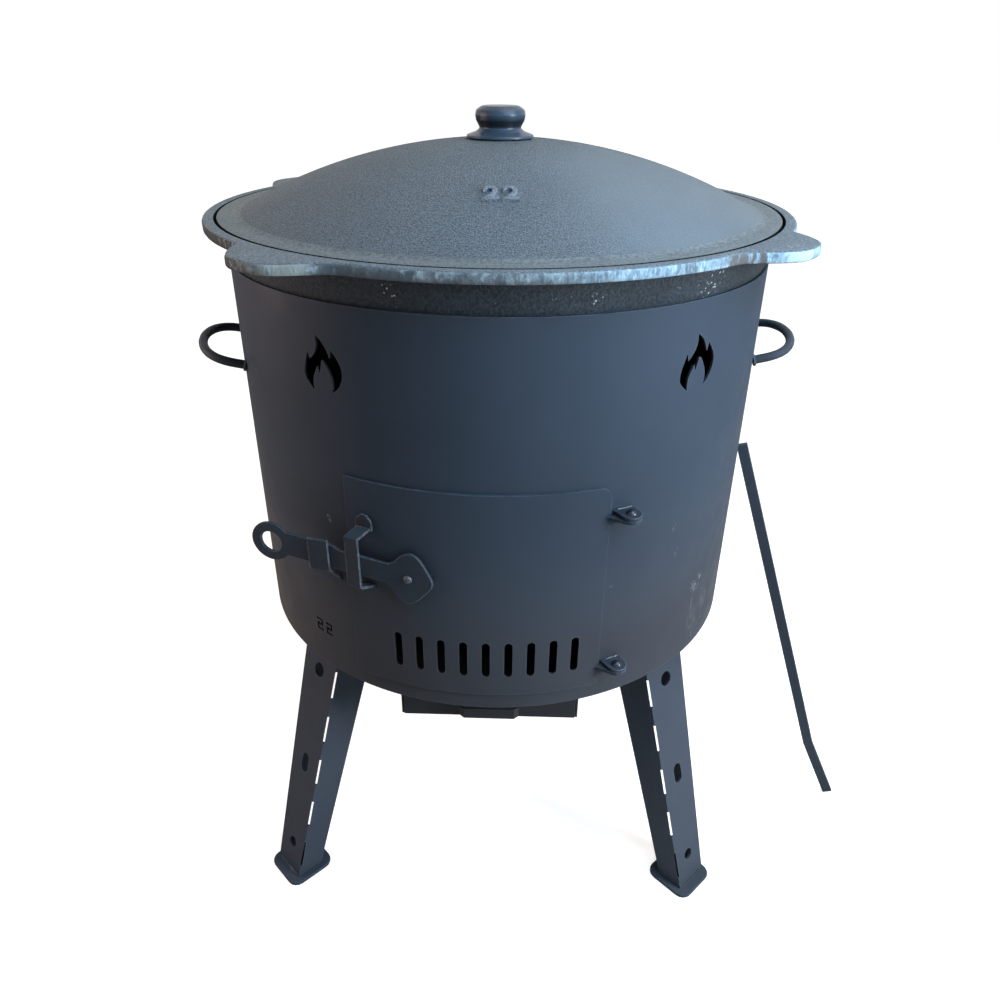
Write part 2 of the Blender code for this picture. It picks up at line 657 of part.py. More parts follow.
def pin_shape(radius, head_radius, dome, length):
    """A headed pin: its shank hangs down from z = 0 and its domed head stands on it."""
    ball = (head_radius ** 2 + dome ** 2) / (2 * dome)
    sweep = degrees(acos((ball - dome) / ball))
    head = arc((0, dome - ball), ball, 90, 90 - sweep, 4)
    return turned([*head, (radius, 0), (radius, -length), (0, -length)], 16, closed=False)


def make_hinges():
    """Two hinges, each with an ear on the shell, an ear on the door under it, and a pin."""
    hole = HINGE_PIN / 2
    turn = radians(DOOR_EAR_ROOT_AZ - HINGE_AZ)
    door_root = (DOOR_INSIDE * sin(turn), HINGE_RADIUS - DOOR_INSIDE * cos(turn))
    door_outline = ear_outline(*door_root, DOOR_EAR_ROOT_WIDTH)
    shell_outline = ear_outline(0, HINGE_STANDOFF + SHELL_SHEET / 2, HINGE_EAR_RADIUS * 2)
    for name, middle in (("upper", DOOR_TOP - HINGE_TOP_FROM_DOOR_TOP),
                         ("lower", DOOR_BOTTOM + HINGE_LOW_FROM_DOOR_BOTTOM)):
        place = at_azimuth(HINGE_AZ, HINGE_RADIUS, middle)
        for owner, outline, clear_of, low in (
                ("shell", shell_outline, SHELL_RADIUS + TOUCH, 0),
                ("door", door_outline, DOOR_OUTSIDE + TOUCH, -HINGE_EAR_SHEET - TOUCH)):
            plate = flat_plate(outline, low, low + HINGE_EAR_SHEET)
            ear = add_object(f"{owner}_ear_{name}", plate, PAINT, place)
            bottom, top = low - OVERRUN, low + HINGE_EAR_SHEET + OVERRUN
            cut(ear, drum(clear_of, middle + bottom, middle + top))
            cut(ear, drum(hole + TOUCH, bottom, top, 16), place)

        length = 2 * HINGE_EAR_SHEET + 2 * TOUCH + HINGE_PIN_TAIL
        pin = pin_shape(hole, HINGE_PIN_HEAD / 2, HINGE_PIN_DOME, length)
        above = Matrix.Translation((0, 0, HINGE_EAR_SHEET + TOUCH))
        add_object(f"hinge_pin_{name}", pin, DARK, place @ above, smooth_angle=30)


def lever_outline():
    """The lever before its rest tilt: pivot at 0, ring to the left, spade head to the right."""
    ring, bar = LATCH_RING / 2, LATCH_BAR / 2
    ring_angle = degrees(acos(sqrt(ring ** 2 - bar ** 2) / ring))
    ring_arc = arc((-LATCH_REACH, 0), ring, ring_angle, 360 - ring_angle, 20)
    head = scaled(LATCH_HEAD_SHARES, LATCH_HEAD_LENGTH, LATCH_HEAD_HEIGHT, (LATCH_HEAD_TIP, 0))
    neck = LATCH_HEAD_TIP - LATCH_HEAD_LENGTH
    lower = [(x, -z) for x, z in reversed(head)]
    return ring_arc + [(neck, -bar)] + lower + head[1:] + [(neck, bar)]


def make_latch():
    """The lever, its rivet and washer, the guide on the door and the hook on the shell."""
    pivot = at_azimuth(LATCH_AZ, 0, LATCH_HEIGHT)
    tilt = Matrix.Rotation(radians(LATCH_REST_TILT), 4, "Y")
    outside = Matrix.Translation((0, -LATCH_OUTSIDE, 0))
    place = pivot @ outside
    lever = add_object("latch_lever", moved(upright_plate(lever_outline(), 0, LATCH_SHEET),
                                            tilt), PAINT, place)
    holes = gather(
        upright_plate(circle(LATCH_RIVET / 2 + TOUCH, 16), -OVERRUN, LATCH_SHEET + OVERRUN),
        upright_plate(circle(LATCH_RING_HOLE / 2, 20, (-LATCH_REACH, 0)), -OVERRUN,
                      LATCH_SHEET + OVERRUN))
    cut(lever, moved(holes, tilt), place)

    washer = upright_plate(circle(LATCH_WASHER_DIA / 2, 20), 0, LATCH_WASHER)
    washer_place = pivot @ Matrix.Translation((0, TOUCH + LATCH_SHEET - LATCH_OUTSIDE, 0))
    ring = add_object("latch_washer", washer, STEEL, washer_place)
    cut(ring, upright_plate(circle(LATCH_RIVET / 2 + TOUCH, 16), -OVERRUN,
                            LATCH_WASHER + OVERRUN), washer_place)

    grip = LATCH_SHEET + LATCH_WASHER + DOOR_SHEET + 5 * TOUCH
    ball = pin_shape(LATCH_RIVET / 2, LATCH_RIVET_HEAD / 2, LATCH_RIVET_DOME, grip)
    tail = drum(LATCH_RIVET_HEAD / 2, -grip - LATCH_RIVET_TAIL, -grip, 16)
    facing = Matrix.Rotation(radians(90), 4, "X") @ Matrix.Translation((0, 0, TOUCH))
    rivet = add_object("latch_rivet", moved(ball, facing), DARK, place, smooth_angle=30)
    add_boolean(rivet, moved(tail, facing), "UNION", place)
    make_guide()
    make_hook(pivot)


def make_guide():
    """A strip bent to a bridge on the door, with a tab up its face; the lever runs inside."""
    root = GUIDE_DEPTH + DOOR_SHEET / 2
    tab = TOUCH - DOOR_SHEET / 2
    path = [(GUIDE_DEPTH + tab - GUIDE_SHEET, GUIDE_TOP_RISE + GUIDE_TAB),
            (GUIDE_DEPTH + tab - GUIDE_SHEET, GUIDE_TOP_RISE), (0, GUIDE_TOP_RISE),
            (0, -GUIDE_LOW_DROP), (root, -GUIDE_ROOT_DROP)]
    outline = thick_path(path, GUIDE_SHEET)
    half = GUIDE_WIDTH / 2
    place = at_azimuth(GUIDE_AZ, DOOR_OUTSIDE + GUIDE_DEPTH, LATCH_HEIGHT)
    guide = add_object("latch_guide", side_plate(outline, -half, half), PAINT, place)
    low = LATCH_HEIGHT - GUIDE_ROOT_DROP - GUIDE_DEPTH
    high = LATCH_HEIGHT + GUIDE_TOP_RISE + GUIDE_TAB + OVERRUN
    cut(guide, drum(DOOR_OUTSIDE + TOUCH, low, high))
    tab_top = GUIDE_TOP_RISE + GUIDE_TAB
    outline = arc((0, tab_top - half), half, 0, 180, 8)
    outline += [(-half - OVERRUN, tab_top - half), (-half - OVERRUN, tab_top + OVERRUN),
                (half + OVERRUN, tab_top + OVERRUN), (half + OVERRUN, tab_top - half)]
    cut(guide, upright_plate(outline, 0, GUIDE_DEPTH + OVERRUN), place)


def make_hook(pivot):
    """A strip that rises from the shell under the lever and turns up in front of it."""
    tilt = radians(LATCH_REST_TILT)
    seat = HOOK_NEAR * tan(tilt) - LATCH_BAR / 2 / cos(tilt) - TOUCH
    front = -LATCH_OUTSIDE - HOOK_FACE_GAP
    shell_depth = -sqrt(SHELL_RADIUS ** 2 - HOOK_FAR ** 2)
    path = [(front, HOOK_TOP_RISE), (front, seat), (shell_depth, -HOOK_ROOT_DROP)]
    outline = thick_path(path[::-1], HOOK_SHEET)
    hook = add_object("latch_hook", side_plate(outline, -HOOK_FAR, -HOOK_NEAR), PAINT, pivot)
    low = LATCH_HEIGHT - HOOK_ROOT_DROP - LATCH_RING
    cut(hook, drum(SHELL_RADIUS + TOUCH, low, LATCH_HEIGHT + LATCH_RING))


def make_handles():
    """Two rod loops; their ends are cut to the shell's round."""
    height = SHELL_TOP - HANDLE_FROM_SHELL_TOP
    path = []
    for step in range(HANDLE_STEPS + 1):
        turn = pi * step / HANDLE_STEPS
        depth = HANDLE_DEPTH * sin(turn) ** HANDLE_ROUNDING_SHARE if 0 < turn < pi else 0
        path.append((HANDLE_HALF_SPAN * cos(turn), -depth))
    inward = SHELL_RADIUS - sqrt(SHELL_RADIUS ** 2 - HANDLE_HALF_SPAN ** 2)
    path = [(path[0][0], inward), *path[1:-1], (path[-1][0], inward)]
    lift = Matrix.Rotation(atan2(HANDLE_RISE, HANDLE_DEPTH), 4, "X")
    for name, angle in (("left", UPPER_TURN_AZ - HANDLE_AZ),
                        ("right", UPPER_TURN_AZ + HANDLE_AZ)):
        place = at_azimuth(angle, SHELL_RADIUS, height) @ lift.inverted()
        handle = add_object(f"handle_{name}", bent_rod(path, HANDLE_ROD / 2, ROD_SIDES),
                            PAINT, place, smooth_angle=40)
        cut(handle, drum(SHELL_RADIUS + TOUCH, height - HANDLE_DEPTH, height + HANDLE_DEPTH))


def ear_share(azimuth):
    """How far an ear stands out at an azimuth, from 0 on the plain rim to 1 at its tip."""
    turned_azimuth = (azimuth - EAR_TURN_AZ + 180) % 360 - 180
    from_side = abs(abs(turned_azimuth) - 90)
    offset = from_side - (90 - EAR_AZ)
    share = max(abs(offset) - EAR_FLAT_AZ, 0) / (EAR_GENTLE_AZ if offset > 0 else EAR_BLUNT_AZ)
    if share >= 1:
        return 0
    return (1 + cos(pi * share)) / 2 if offset > 0 else cos(pi * share / 2)


def bowl_arc(radius, centre_height, start, stop, steps):
    """Points on a ball's wall between two distances from the axis, low one first."""
    angles = [degrees(acos(min(reach / radius, 1))) for reach in (start, stop)]
    return arc((0, centre_height), radius, -angles[0], -angles[1], steps)


BOWL_SEAT_DROP = sqrt((BOWL_RADIUS + BOWL_SEAT_GAP) ** 2 - SHELL_INSIDE ** 2)
BOWL_CENTRE = SHELL_TOP + BOWL_SEAT_DROP


def make_cauldron():
    """The bowl and its rim in one casting, with a recess for the lid and four ears."""
    under = RIM_TOP - RIM_THICKNESS
    recess = RIM_TOP - LID_RECESS_DEPTH
    outer_reach = sqrt(BOWL_RADIUS ** 2 - (BOWL_CENTRE - under) ** 2)
    inner_radius = BOWL_RADIUS - BOWL_WALL
    inner_start = sqrt(inner_radius ** 2 - (BOWL_CENTRE - recess) ** 2)
    mouth = min(BOWL_MOUTH_RADIUS, inner_start)
    seat_reach = SHELL_INSIDE * BOWL_RADIUS / (BOWL_RADIUS + BOWL_SEAT_GAP)
    outer = bowl_arc(BOWL_RADIUS, BOWL_CENTRE, BOWL_BOTTOM_FLAT, seat_reach, BOWL_STEPS)
    outer += bowl_arc(BOWL_RADIUS, BOWL_CENTRE, seat_reach, outer_reach, 1)[1:]
    rim = [(RIM_RADIUS, under), (RIM_RADIUS, RIM_TOP - RIM_ROUNDING),
           (RIM_RADIUS - RIM_ROUNDING, RIM_TOP), (LID_RECESS_RADIUS, RIM_TOP),
           (LID_RECESS_RADIUS, recess)]
    inner = bowl_arc(inner_radius, BOWL_CENTRE, BOWL_BOTTOM_FLAT, mouth, BOWL_STEPS)[::-1]
    low_out, low_in = outer[0][1], inner[-1][1]
    profile = [(0, low_out), *outer, *rim, *inner, (0, low_in)]
    shape = turned(profile, CAULDRON_STEPS, closed=False)
    for vert in shape.verts:
        reach = hypot(vert.co.x, vert.co.y)
        if reach > (RIM_RADIUS + LID_RECESS_RADIUS) / 2:
            share = ear_share(degrees(atan2(vert.co.x, -vert.co.y)))
            scale = (reach + EAR_REACH * share) / reach
            vert.co.x *= scale
            vert.co.y *= scale
    add_object("cauldron", shape, IRON, smooth_angle=35)


LID_UNDER = RIM_TOP - LID_RECESS_DEPTH + TOUCH
LID_RADIUS = LID_RECESS_RADIUS - LID_CLEARANCE
DOME_RADIUS = LID_RADIUS - LID_BAND
DOME_BALL = (DOME_RADIUS ** 2 + LID_DOME_RISE ** 2) / (2 * LID_DOME_RISE)


def dome_height(reach):
    """Height of the lid's outside above its band, at a distance from the axis."""
    return sqrt(DOME_BALL ** 2 - reach ** 2) - (DOME_BALL - LID_DOME_RISE)


def make_lid():
    """The cast lid, with raised numerals, and its knob, screw and nut."""
    band_top = LID_UNDER + LID_THICKNESS
    reaches = [DOME_RADIUS * step / LID_STEPS for step in range(LID_STEPS, -1, -1)]
    above = [(reach, band_top + dome_height(reach)) for reach in reaches]
    below = [(reach, height - LID_THICKNESS) for reach, height in reversed(above)]
    hole = KNOB_SCREW / 2 + TOUCH
    above[-1] = (hole, above[-1][1])
    below[0] = (hole, below[0][1])
    profile = [(LID_RADIUS, LID_UNDER), (LID_RADIUS, band_top), *above, *below]
    lid = add_object("lid", turned(profile, ROUND_STEPS), IRON, smooth_angle=35)

    lean = asin(LID_NUMERAL_REACH / DOME_BALL)
    height = band_top + dome_height(LID_NUMERAL_REACH)
    spot = at_azimuth(LID_NUMERAL_AZ, LID_NUMERAL_REACH, height)
    face_up = spot @ Matrix.Rotation(lean - pi / 2, 4, "X")
    number = numerals(LID_NUMERAL_WIDTH, LID_NUMERAL_HEIGHT, LID_NUMERAL_SPACING,
                      -LID_NUMERAL_RELIEF, LID_THICKNESS / 2)
    add_boolean(lid, moved(number, face_up), "UNION")

    dome_top = band_top + LID_DOME_RISE
    base = dome_top + TOUCH
    side_shares = [
        (KNOB_TOP, 0.62, 1.00), (KNOB_TOP, 0.97, 0.93), (KNOB_TOP, 1.00, 0.60),
        (KNOB_WAIST, 1.00, 0.42), (KNOB_WAIST, 1.02, 0.24), (KNOB_FLANGE, 0.97, 0.12),
        (KNOB_FLANGE, 1.00, 0.00)]
    sides = [(width / 2 * share, base + KNOB_HEIGHT * height)
             for width, share, height in side_shares]
    screw = KNOB_SCREW / 2
    blind = base + KNOB_HEIGHT * KNOB_BLIND_SHARE
    profile = [(0, base + KNOB_HEIGHT), *sides, (screw + TOUCH, base),
               (screw + TOUCH, blind), (0, blind)]
    add_object("lid_knob", turned(profile, KNOB_STEPS, closed=False), DARK, smooth_angle=40)

    nut_top = dome_top - LID_THICKNESS - TOUCH
    tail = nut_top - KNOB_SCREW_DEPTH
    stud = [(0, blind - TOUCH), (screw, blind - TOUCH), (screw, tail), (0, tail)]
    add_object("knob_screw", turned(stud, 16, closed=False), STEEL, smooth_angle=40)
    nut = flat_plate(circle(KNOB_NUT / 2, 6), nut_top - KNOB_NUT_HEIGHT, nut_top)
    hex_nut = add_object("knob_nut", nut, STEEL)
    cut(hex_nut, drum(screw + TOUCH, tail, nut_top + OVERRUN, 16))


def make_poker():
    """The bar: its top leans on the shell and its bent end stands on the ground."""
    path = [(0, POKER_TOP_HEIGHT), (-POKER_BEND_OUT, POKER_BEND_HEIGHT),
            (-POKER_BEND_OUT - POKER_FOOT_OUT, 0)]
    half = POKER_SHEET / 2
    bar = side_plate(thick_path(path[::-1], POKER_WIDTH), -half, half)
    turn = radians(POKER_LEAN_AZ - POKER_AZ)
    standing = at_azimuth(POKER_AZ, SHELL_RADIUS + TOUCH + half * abs(sin(turn)))
    add_object("poker", bar, PAINT, standing @ Matrix.Rotation(turn, 4, "Z"))


def centre_on_ground():
    """Moves everything so that the origin is under the middle of the whole part's box."""
    bpy.context.view_layer.update()
    pieces = [item for item in bpy.data.objects if item.type == "MESH" and not item.hide_render]
    graph = bpy.context.evaluated_depsgraph_get()
    corners = []
    for piece in pieces:
        solid = piece.evaluated_get(graph)
        mesh = solid.to_mesh()
        corners += [piece.matrix_world @ vert.co for vert in mesh.vertices]
        solid.to_mesh_clear()
    low = [min(corner[axis] for corner in corners) for axis in range(3)]
    high = [max(corner[axis] for corner in corners) for axis in range(3)]
    shift = Vector((-(low[0] + high[0]) / 2, -(low[1] + high[1]) / 2, -low[2]))
    for item in bpy.data.objects:
        item.matrix_world = Matrix.Translation(shift) @ item.matrix_world
    print("shift", tuple(round(value, 6) for value in shift))


clear_scene()
make_shell()
make_floor()
make_legs()
make_drawer()
make_door()
make_hinges()
make_latch()
make_handles()
make_cauldron()
make_lid()
make_poker()
centre_on_ground()
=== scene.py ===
"""Looks of the cauldron stove: painted sheet steel, a cast-iron cauldron and its lid.

Lengths are metres. Azimuths are degrees about the stove's axis, 0 at the front (-Y) and
growing towards +X.
"""
import json
from math import acos, asin, atan2, cos, degrees, hypot, pi, radians, sin, sqrt, tan

import bmesh
import bpy
from mathutils import Matrix, Vector, noise

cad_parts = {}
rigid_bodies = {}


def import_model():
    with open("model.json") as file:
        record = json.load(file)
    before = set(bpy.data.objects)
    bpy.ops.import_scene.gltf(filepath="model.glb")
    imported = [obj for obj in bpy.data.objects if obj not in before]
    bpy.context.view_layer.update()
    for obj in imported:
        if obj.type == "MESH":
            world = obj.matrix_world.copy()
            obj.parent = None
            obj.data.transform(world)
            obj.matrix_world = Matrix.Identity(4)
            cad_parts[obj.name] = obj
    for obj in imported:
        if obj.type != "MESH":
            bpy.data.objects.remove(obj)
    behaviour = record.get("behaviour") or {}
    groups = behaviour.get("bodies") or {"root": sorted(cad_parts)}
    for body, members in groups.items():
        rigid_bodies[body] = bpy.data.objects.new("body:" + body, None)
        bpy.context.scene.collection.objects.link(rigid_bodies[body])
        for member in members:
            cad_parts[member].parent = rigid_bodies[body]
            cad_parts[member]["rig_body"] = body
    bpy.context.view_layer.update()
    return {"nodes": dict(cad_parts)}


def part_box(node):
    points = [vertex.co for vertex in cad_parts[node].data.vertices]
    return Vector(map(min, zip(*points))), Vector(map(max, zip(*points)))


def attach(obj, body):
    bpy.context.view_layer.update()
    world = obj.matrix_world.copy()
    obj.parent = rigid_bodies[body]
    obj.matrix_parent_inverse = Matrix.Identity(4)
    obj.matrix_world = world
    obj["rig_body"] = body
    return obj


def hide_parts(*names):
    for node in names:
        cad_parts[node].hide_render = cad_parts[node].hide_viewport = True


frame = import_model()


def middle_of(node):
    low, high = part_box(node)
    return (low + high) / 2


def top_of(node):
    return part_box(node)[1].z


def bottom_of(node):
    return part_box(node)[0].z


# Where the solids are
AXIS = Vector((middle_of("body_shell").x, middle_of("body_shell").y, 0))
SHELL_RADIUS = (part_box("body_shell")[1].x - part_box("body_shell")[0].x) / 2
SHELL_LOW, SHELL_TOP = bottom_of("body_shell"), top_of("body_shell")
DOOR_LOW, DOOR_TOP = bottom_of("fire_door"), top_of("fire_door")
RIM_TOP = top_of("cauldron")
KNOB_LOW, KNOB_TOP = bottom_of("lid_knob"), top_of("lid_knob")

# Sizes that the solids also have
TOUCH = 0.0003
SHELL_SHEET = 0.002
DOOR_SHEET = 0.002
DOOR_OVERLAP = 0.012
DOOR_CORNER = 0.011
DOOR_LEFT_AZ, DOOR_RIGHT_AZ = -29.3, 23.0
UPPER_TURN_AZ = 4.6
DOOR_INSIDE = SHELL_RADIUS + TOUCH
DOOR_OUTSIDE = DOOR_INSIDE + DOOR_SHEET
OVERRUN = 0.004
RIM_RADIUS = 0.260
# The door's free edge leans in by this much at the top, which the solids don't have.
DOOR_LEAN_AZ = 0.9


def at_azimuth(angle, reach=0.0, height=0.0):
    """Local axes at an azimuth: +X to the right, +Y inwards, +Z up, seen from outside."""
    return (Matrix.Translation(AXIS) @ Matrix.Rotation(radians(angle), 4, "Z")
            @ Matrix.Translation((0, -reach, height)))


def on_axis(angle, reach, height):
    """The same axes where the stove's axis is still at the origin."""
    return Matrix.Translation(-AXIS) @ at_azimuth(angle, reach, height)


# Finishes

def put(socket, value):
    """Sets a socket, or links it where the value is another node's output."""
    if isinstance(value, bpy.types.NodeSocket):
        socket.id_data.links.new(value, socket)
    elif isinstance(value, tuple) and len(value) == 3 and socket.type == "RGBA":
        socket.default_value = (*value, 1)
    else:
        socket.default_value = value


def new_node(tree, kind, inputs=(), **settings):
    """A shader node with its settings and with inputs given as (name or number, value)."""
    made = tree.nodes.new("ShaderNode" + kind)
    for name, value in settings.items():
        setattr(made, name, value)
    for key, value in inputs:
        put(made.inputs[key], value)
    return made


class Finish:
    """A Principled material that is put together node by node on Object coordinates."""

    def __init__(self, name, metallic=0.0, specular=0.5):
        self.material = bpy.data.materials.new(name)
        self.material.use_nodes = True
        self.tree = self.material.node_tree
        self.shader = self.tree.nodes["Principled BSDF"].inputs
        put(self.shader["Metallic"], metallic)
        put(self.shader["Specular IOR Level"], specular)
        self.place = self.made("TexCoord", "Object")

    def made(self, kind, output, *inputs, **settings):
        """An output of a new node."""
        return new_node(self.tree, kind, inputs, **settings).outputs[output]

    def stretched(self, stretch, centre=(0, 0, 0), turn=(0, 0, 0)):
        """Object coordinates, moved to a centre, turned and stretched."""
        return self.made("Mapping", "Vector", ("Vector", self.place), ("Location", centre),
                         ("Rotation", turn), ("Scale", stretch), vector_type="TEXTURE")

    def cloud(self, scale, detail=2.0, roughness=0.5, place=None, distortion=0.0):
        return self.made("TexNoise", "Fac", ("Vector", place or self.place), ("Scale", scale),
                         ("Detail", detail), ("Roughness", roughness),
                         ("Distortion", distortion))

    def cells(self, scale):
        """Distance from the middle of the nearest of many scattered cells, in cell widths."""
        return self.made("TexVoronoi", "Distance", ("Vector", self.place), ("Scale", scale))

    def span(self, value, low, high, to_low=0.0, to_high=1.0):
        """Maps low..high to to_low..to_high, and holds the ends."""
        return self.made("MapRange", "Result", ("Value", value), ("From Min", low),
                         ("From Max", high), ("To Min", to_low), ("To Max", to_high),
                         interpolation_type="SMOOTHSTEP")

    def sum(self, kind, one, other):
        return self.made("Math", "Value", (0, one), (1, other), operation=kind)

    def product(self, first, *others):
        for other in others:
            first = self.sum("MULTIPLY", first, other)
        return first

    def vector_sum(self, kind, *vectors):
        return self.made("VectorMath", "Value", *enumerate(vectors), operation=kind)

    def scaled(self, colour, share):
        return self.made("VectorMath", "Vector", (0, colour), ("Scale", share),
                         operation="SCALE")

    def blend(self, share, one, other, kind="MIX"):
        return self.made("Mix", 2, (0, share), (6, one), (7, other), data_type="RGBA",
                         blend_type=kind)

    def along(self, direction):
        """How far a point lies along a direction, in metres."""
        return self.vector_sum("DOT_PRODUCT", self.place, direction)

    def away_from(self, centre, stretch=(1, 1, 1)):
        """Distance from a point, with each axis measured in its own unit."""
        return self.vector_sum("LENGTH", self.stretched(stretch, centre))

    def edges(self, radius):
        """1 on edges and 0 on flats, from how far the rounded normal leans from the flat one."""
        rounded = self.made("Bevel", "Normal", ("Radius", radius), samples=4)
        flat = self.made("NewGeometry", "Normal")
        return self.span(self.vector_sum("DOT_PRODUCT", rounded, flat), 0.985, 0.80)

    def relief(self, height, distance, strength=1.0, under=None):
        below = [("Normal", under)] if under is not None else []
        return self.made("Bump", "Normal", ("Strength", strength), ("Distance", distance),
                         ("Height", height), *below)

    def done(self, colour, roughness, normal=None):
        put(self.shader["Base Color"], colour)
        put(self.shader["Roughness"], roughness)
        if normal is not None:
            put(self.shader["Normal"], normal)
        return self.material


# The first colour is painted shade for the hollow under the knob's cap; the second is the grey
# of real scuffs.
GROOVE_PAINTED_SHADE, SCUFF_GREY = (0.006, 0.009, 0.012), (0.34, 0.38, 0.40)
SPECK_PALE, CHIP_PALE = (0.55, 0.56, 0.55), (0.36, 0.40, 0.40)
RUBBED_IRON, CALM_SHADE = (0.26, 0.29, 0.31), 0.73


def satin_paint(name, deep, pale, worn_and_highlight=(0.15, 0.19, 0.23), wear=0.55, scuffs=(), gloss=0.06,
                rough=(0.40, 0.56), painted_shade_band=None, painted_warm_bounce=None):
    """Satin stove enamel on sheet steel: faint clouds, dust, rubbed edges, orange peel, and
    where asked a painted shade band and painted warm light low down.
    """
    paint = Finish(name, specular=gloss)
    tone = paint.span(paint.cloud(5.5, 3, 0.55), 0.30, 0.70)
    colour = paint.blend(tone, deep, pale)
    mottle = paint.span(paint.cloud(70, 4, 0.6), 0.42, 0.72, 0.0, 0.22)
    colour = paint.blend(mottle, colour, pale)
    flecks = paint.span(paint.cells(240), 0.085, 0.05, 0.0, 0.28)
    sparse = paint.span(paint.cloud(16, 2), 0.58, 0.66)
    colour = paint.blend(paint.product(flecks, sparse), colour, worn_and_highlight)
    roughness = paint.span(paint.cloud(24, 4, 0.6), 0.25, 0.75, *rough)
    # Painted warm light: towards the bottom the colour is warmed, standing for light bounced off
    # the floor.
    if painted_warm_bounce is not None:
        above, below, tint = painted_warm_bounce
        share = paint.span(paint.along((0, 0, 1)), above, below)
        colour = paint.blend(share, colour, tint, "MULTIPLY")
    # Painted shade: a near-black band between two heights, where shade falls under the knob's
    # cap.
    if painted_shade_band is not None:
        low, high = painted_shade_band
        height, soft = paint.along((0, 0, 1)), (high - low) / 3
        inside = paint.product(paint.span(height, low - soft, low + soft),
                               paint.span(height, high + soft, high - soft), 0.92)
        colour = paint.blend(inside, colour, GROOVE_PAINTED_SHADE)
    for centre, stretch, turn, strength in scuffs:
        spot = paint.stretched(stretch, centre, turn)
        patch = paint.span(paint.vector_sum("LENGTH", spot), 1.0, 0.72)
        lines = paint.span(paint.cloud(1.6, 5, 0.75, spot, 0.6), 0.50, 0.64)
        mark = paint.product(patch, lines, strength)
        colour = paint.blend(mark, colour, SCUFF_GREY)
        roughness = paint.sum("ADD", roughness, paint.product(mark, 0.2))
    # Pale rubbed edges; on the latch sheet these also stand for painted edge highlights.
    rubbed = paint.product(paint.edges(0.0012), paint.span(
        paint.cloud(95, 4, 0.7), 0.34, 0.62, 0.15 * wear, wear))
    colour = paint.blend(rubbed, colour, worn_and_highlight)
    peel = paint.relief(paint.cloud(1300, 2, 0.5), 0.00010, 0.35)
    waves = paint.relief(paint.cloud(26, 2, 0.5), 0.0012, 0.10, peel)
    return paint.done(colour, roughness, waves)


def casting(name, deep, pale, grain, depth, rough=(0.5, 0.72), specular=0.4, specks=0.0,
            tint=None, wear=0.3, shades=(0.64, 1.12), chips=(), calm=None):
    """Cast iron as it left the sand: rounded grains, darker pits, pale specks, brown tint."""
    iron = Finish(name, specular=specular)
    lumps = iron.cloud(grain, 3, 0.55, distortion=0.15)
    fine = iron.cloud(grain * 2.6, 3, 0.6)
    height = iron.sum("ADD", lumps, iron.product(fine, 0.35))
    broad = iron.span(iron.cloud(7, 4, 0.6), 0.30, 0.70)
    colour = iron.blend(broad, deep, pale)
    shade = iron.span(lumps, 0.36, 0.62, *shades)
    if calm is not None:
        centre, size = calm
        near = iron.span(iron.away_from(centre, size), 1.25, 0.55, 0.0, 0.8)
        even = iron.product(iron.sum("SUBTRACT", CALM_SHADE, shade), near)
        shade = iron.sum("ADD", shade, even)
        height = iron.product(height, iron.sum("SUBTRACT", 1.0, near))
    colour = iron.scaled(colour, shade)
    if tint is not None:
        stain = iron.span(iron.cloud(13, 5, 0.7), 0.56, 0.74, 0.0, 0.7)
        colour = iron.blend(stain, colour, tint)
    if specks:
        dots = iron.span(iron.cells(210), 0.10, 0.05)
        where = iron.span(iron.cloud(19, 3), 0.56, 0.66)
        colour = iron.blend(iron.product(dots, where, specks), colour, SPECK_PALE)
    for centre, size in chips:
        near = iron.span(iron.away_from(centre, (size, size, size)), 1.0, 0.5)
        bare = iron.span(iron.cells(340), 0.34, 0.22)
        some = iron.span(iron.cloud(300, 2, 0.6), 0.46, 0.54)
        colour = iron.blend(iron.product(bare, some, near), colour, CHIP_PALE)
    if wear:
        rubbed = iron.product(iron.edges(0.0016), iron.span(
            iron.cloud(120, 4, 0.7), 0.36, 0.64, 0.1 * wear, wear))
        colour = iron.blend(rubbed, colour, RUBBED_IRON)
    roughness = iron.span(fine, 0.3, 0.7, *rough)
    return iron.done(colour, roughness, iron.relief(height, depth, 1.0))


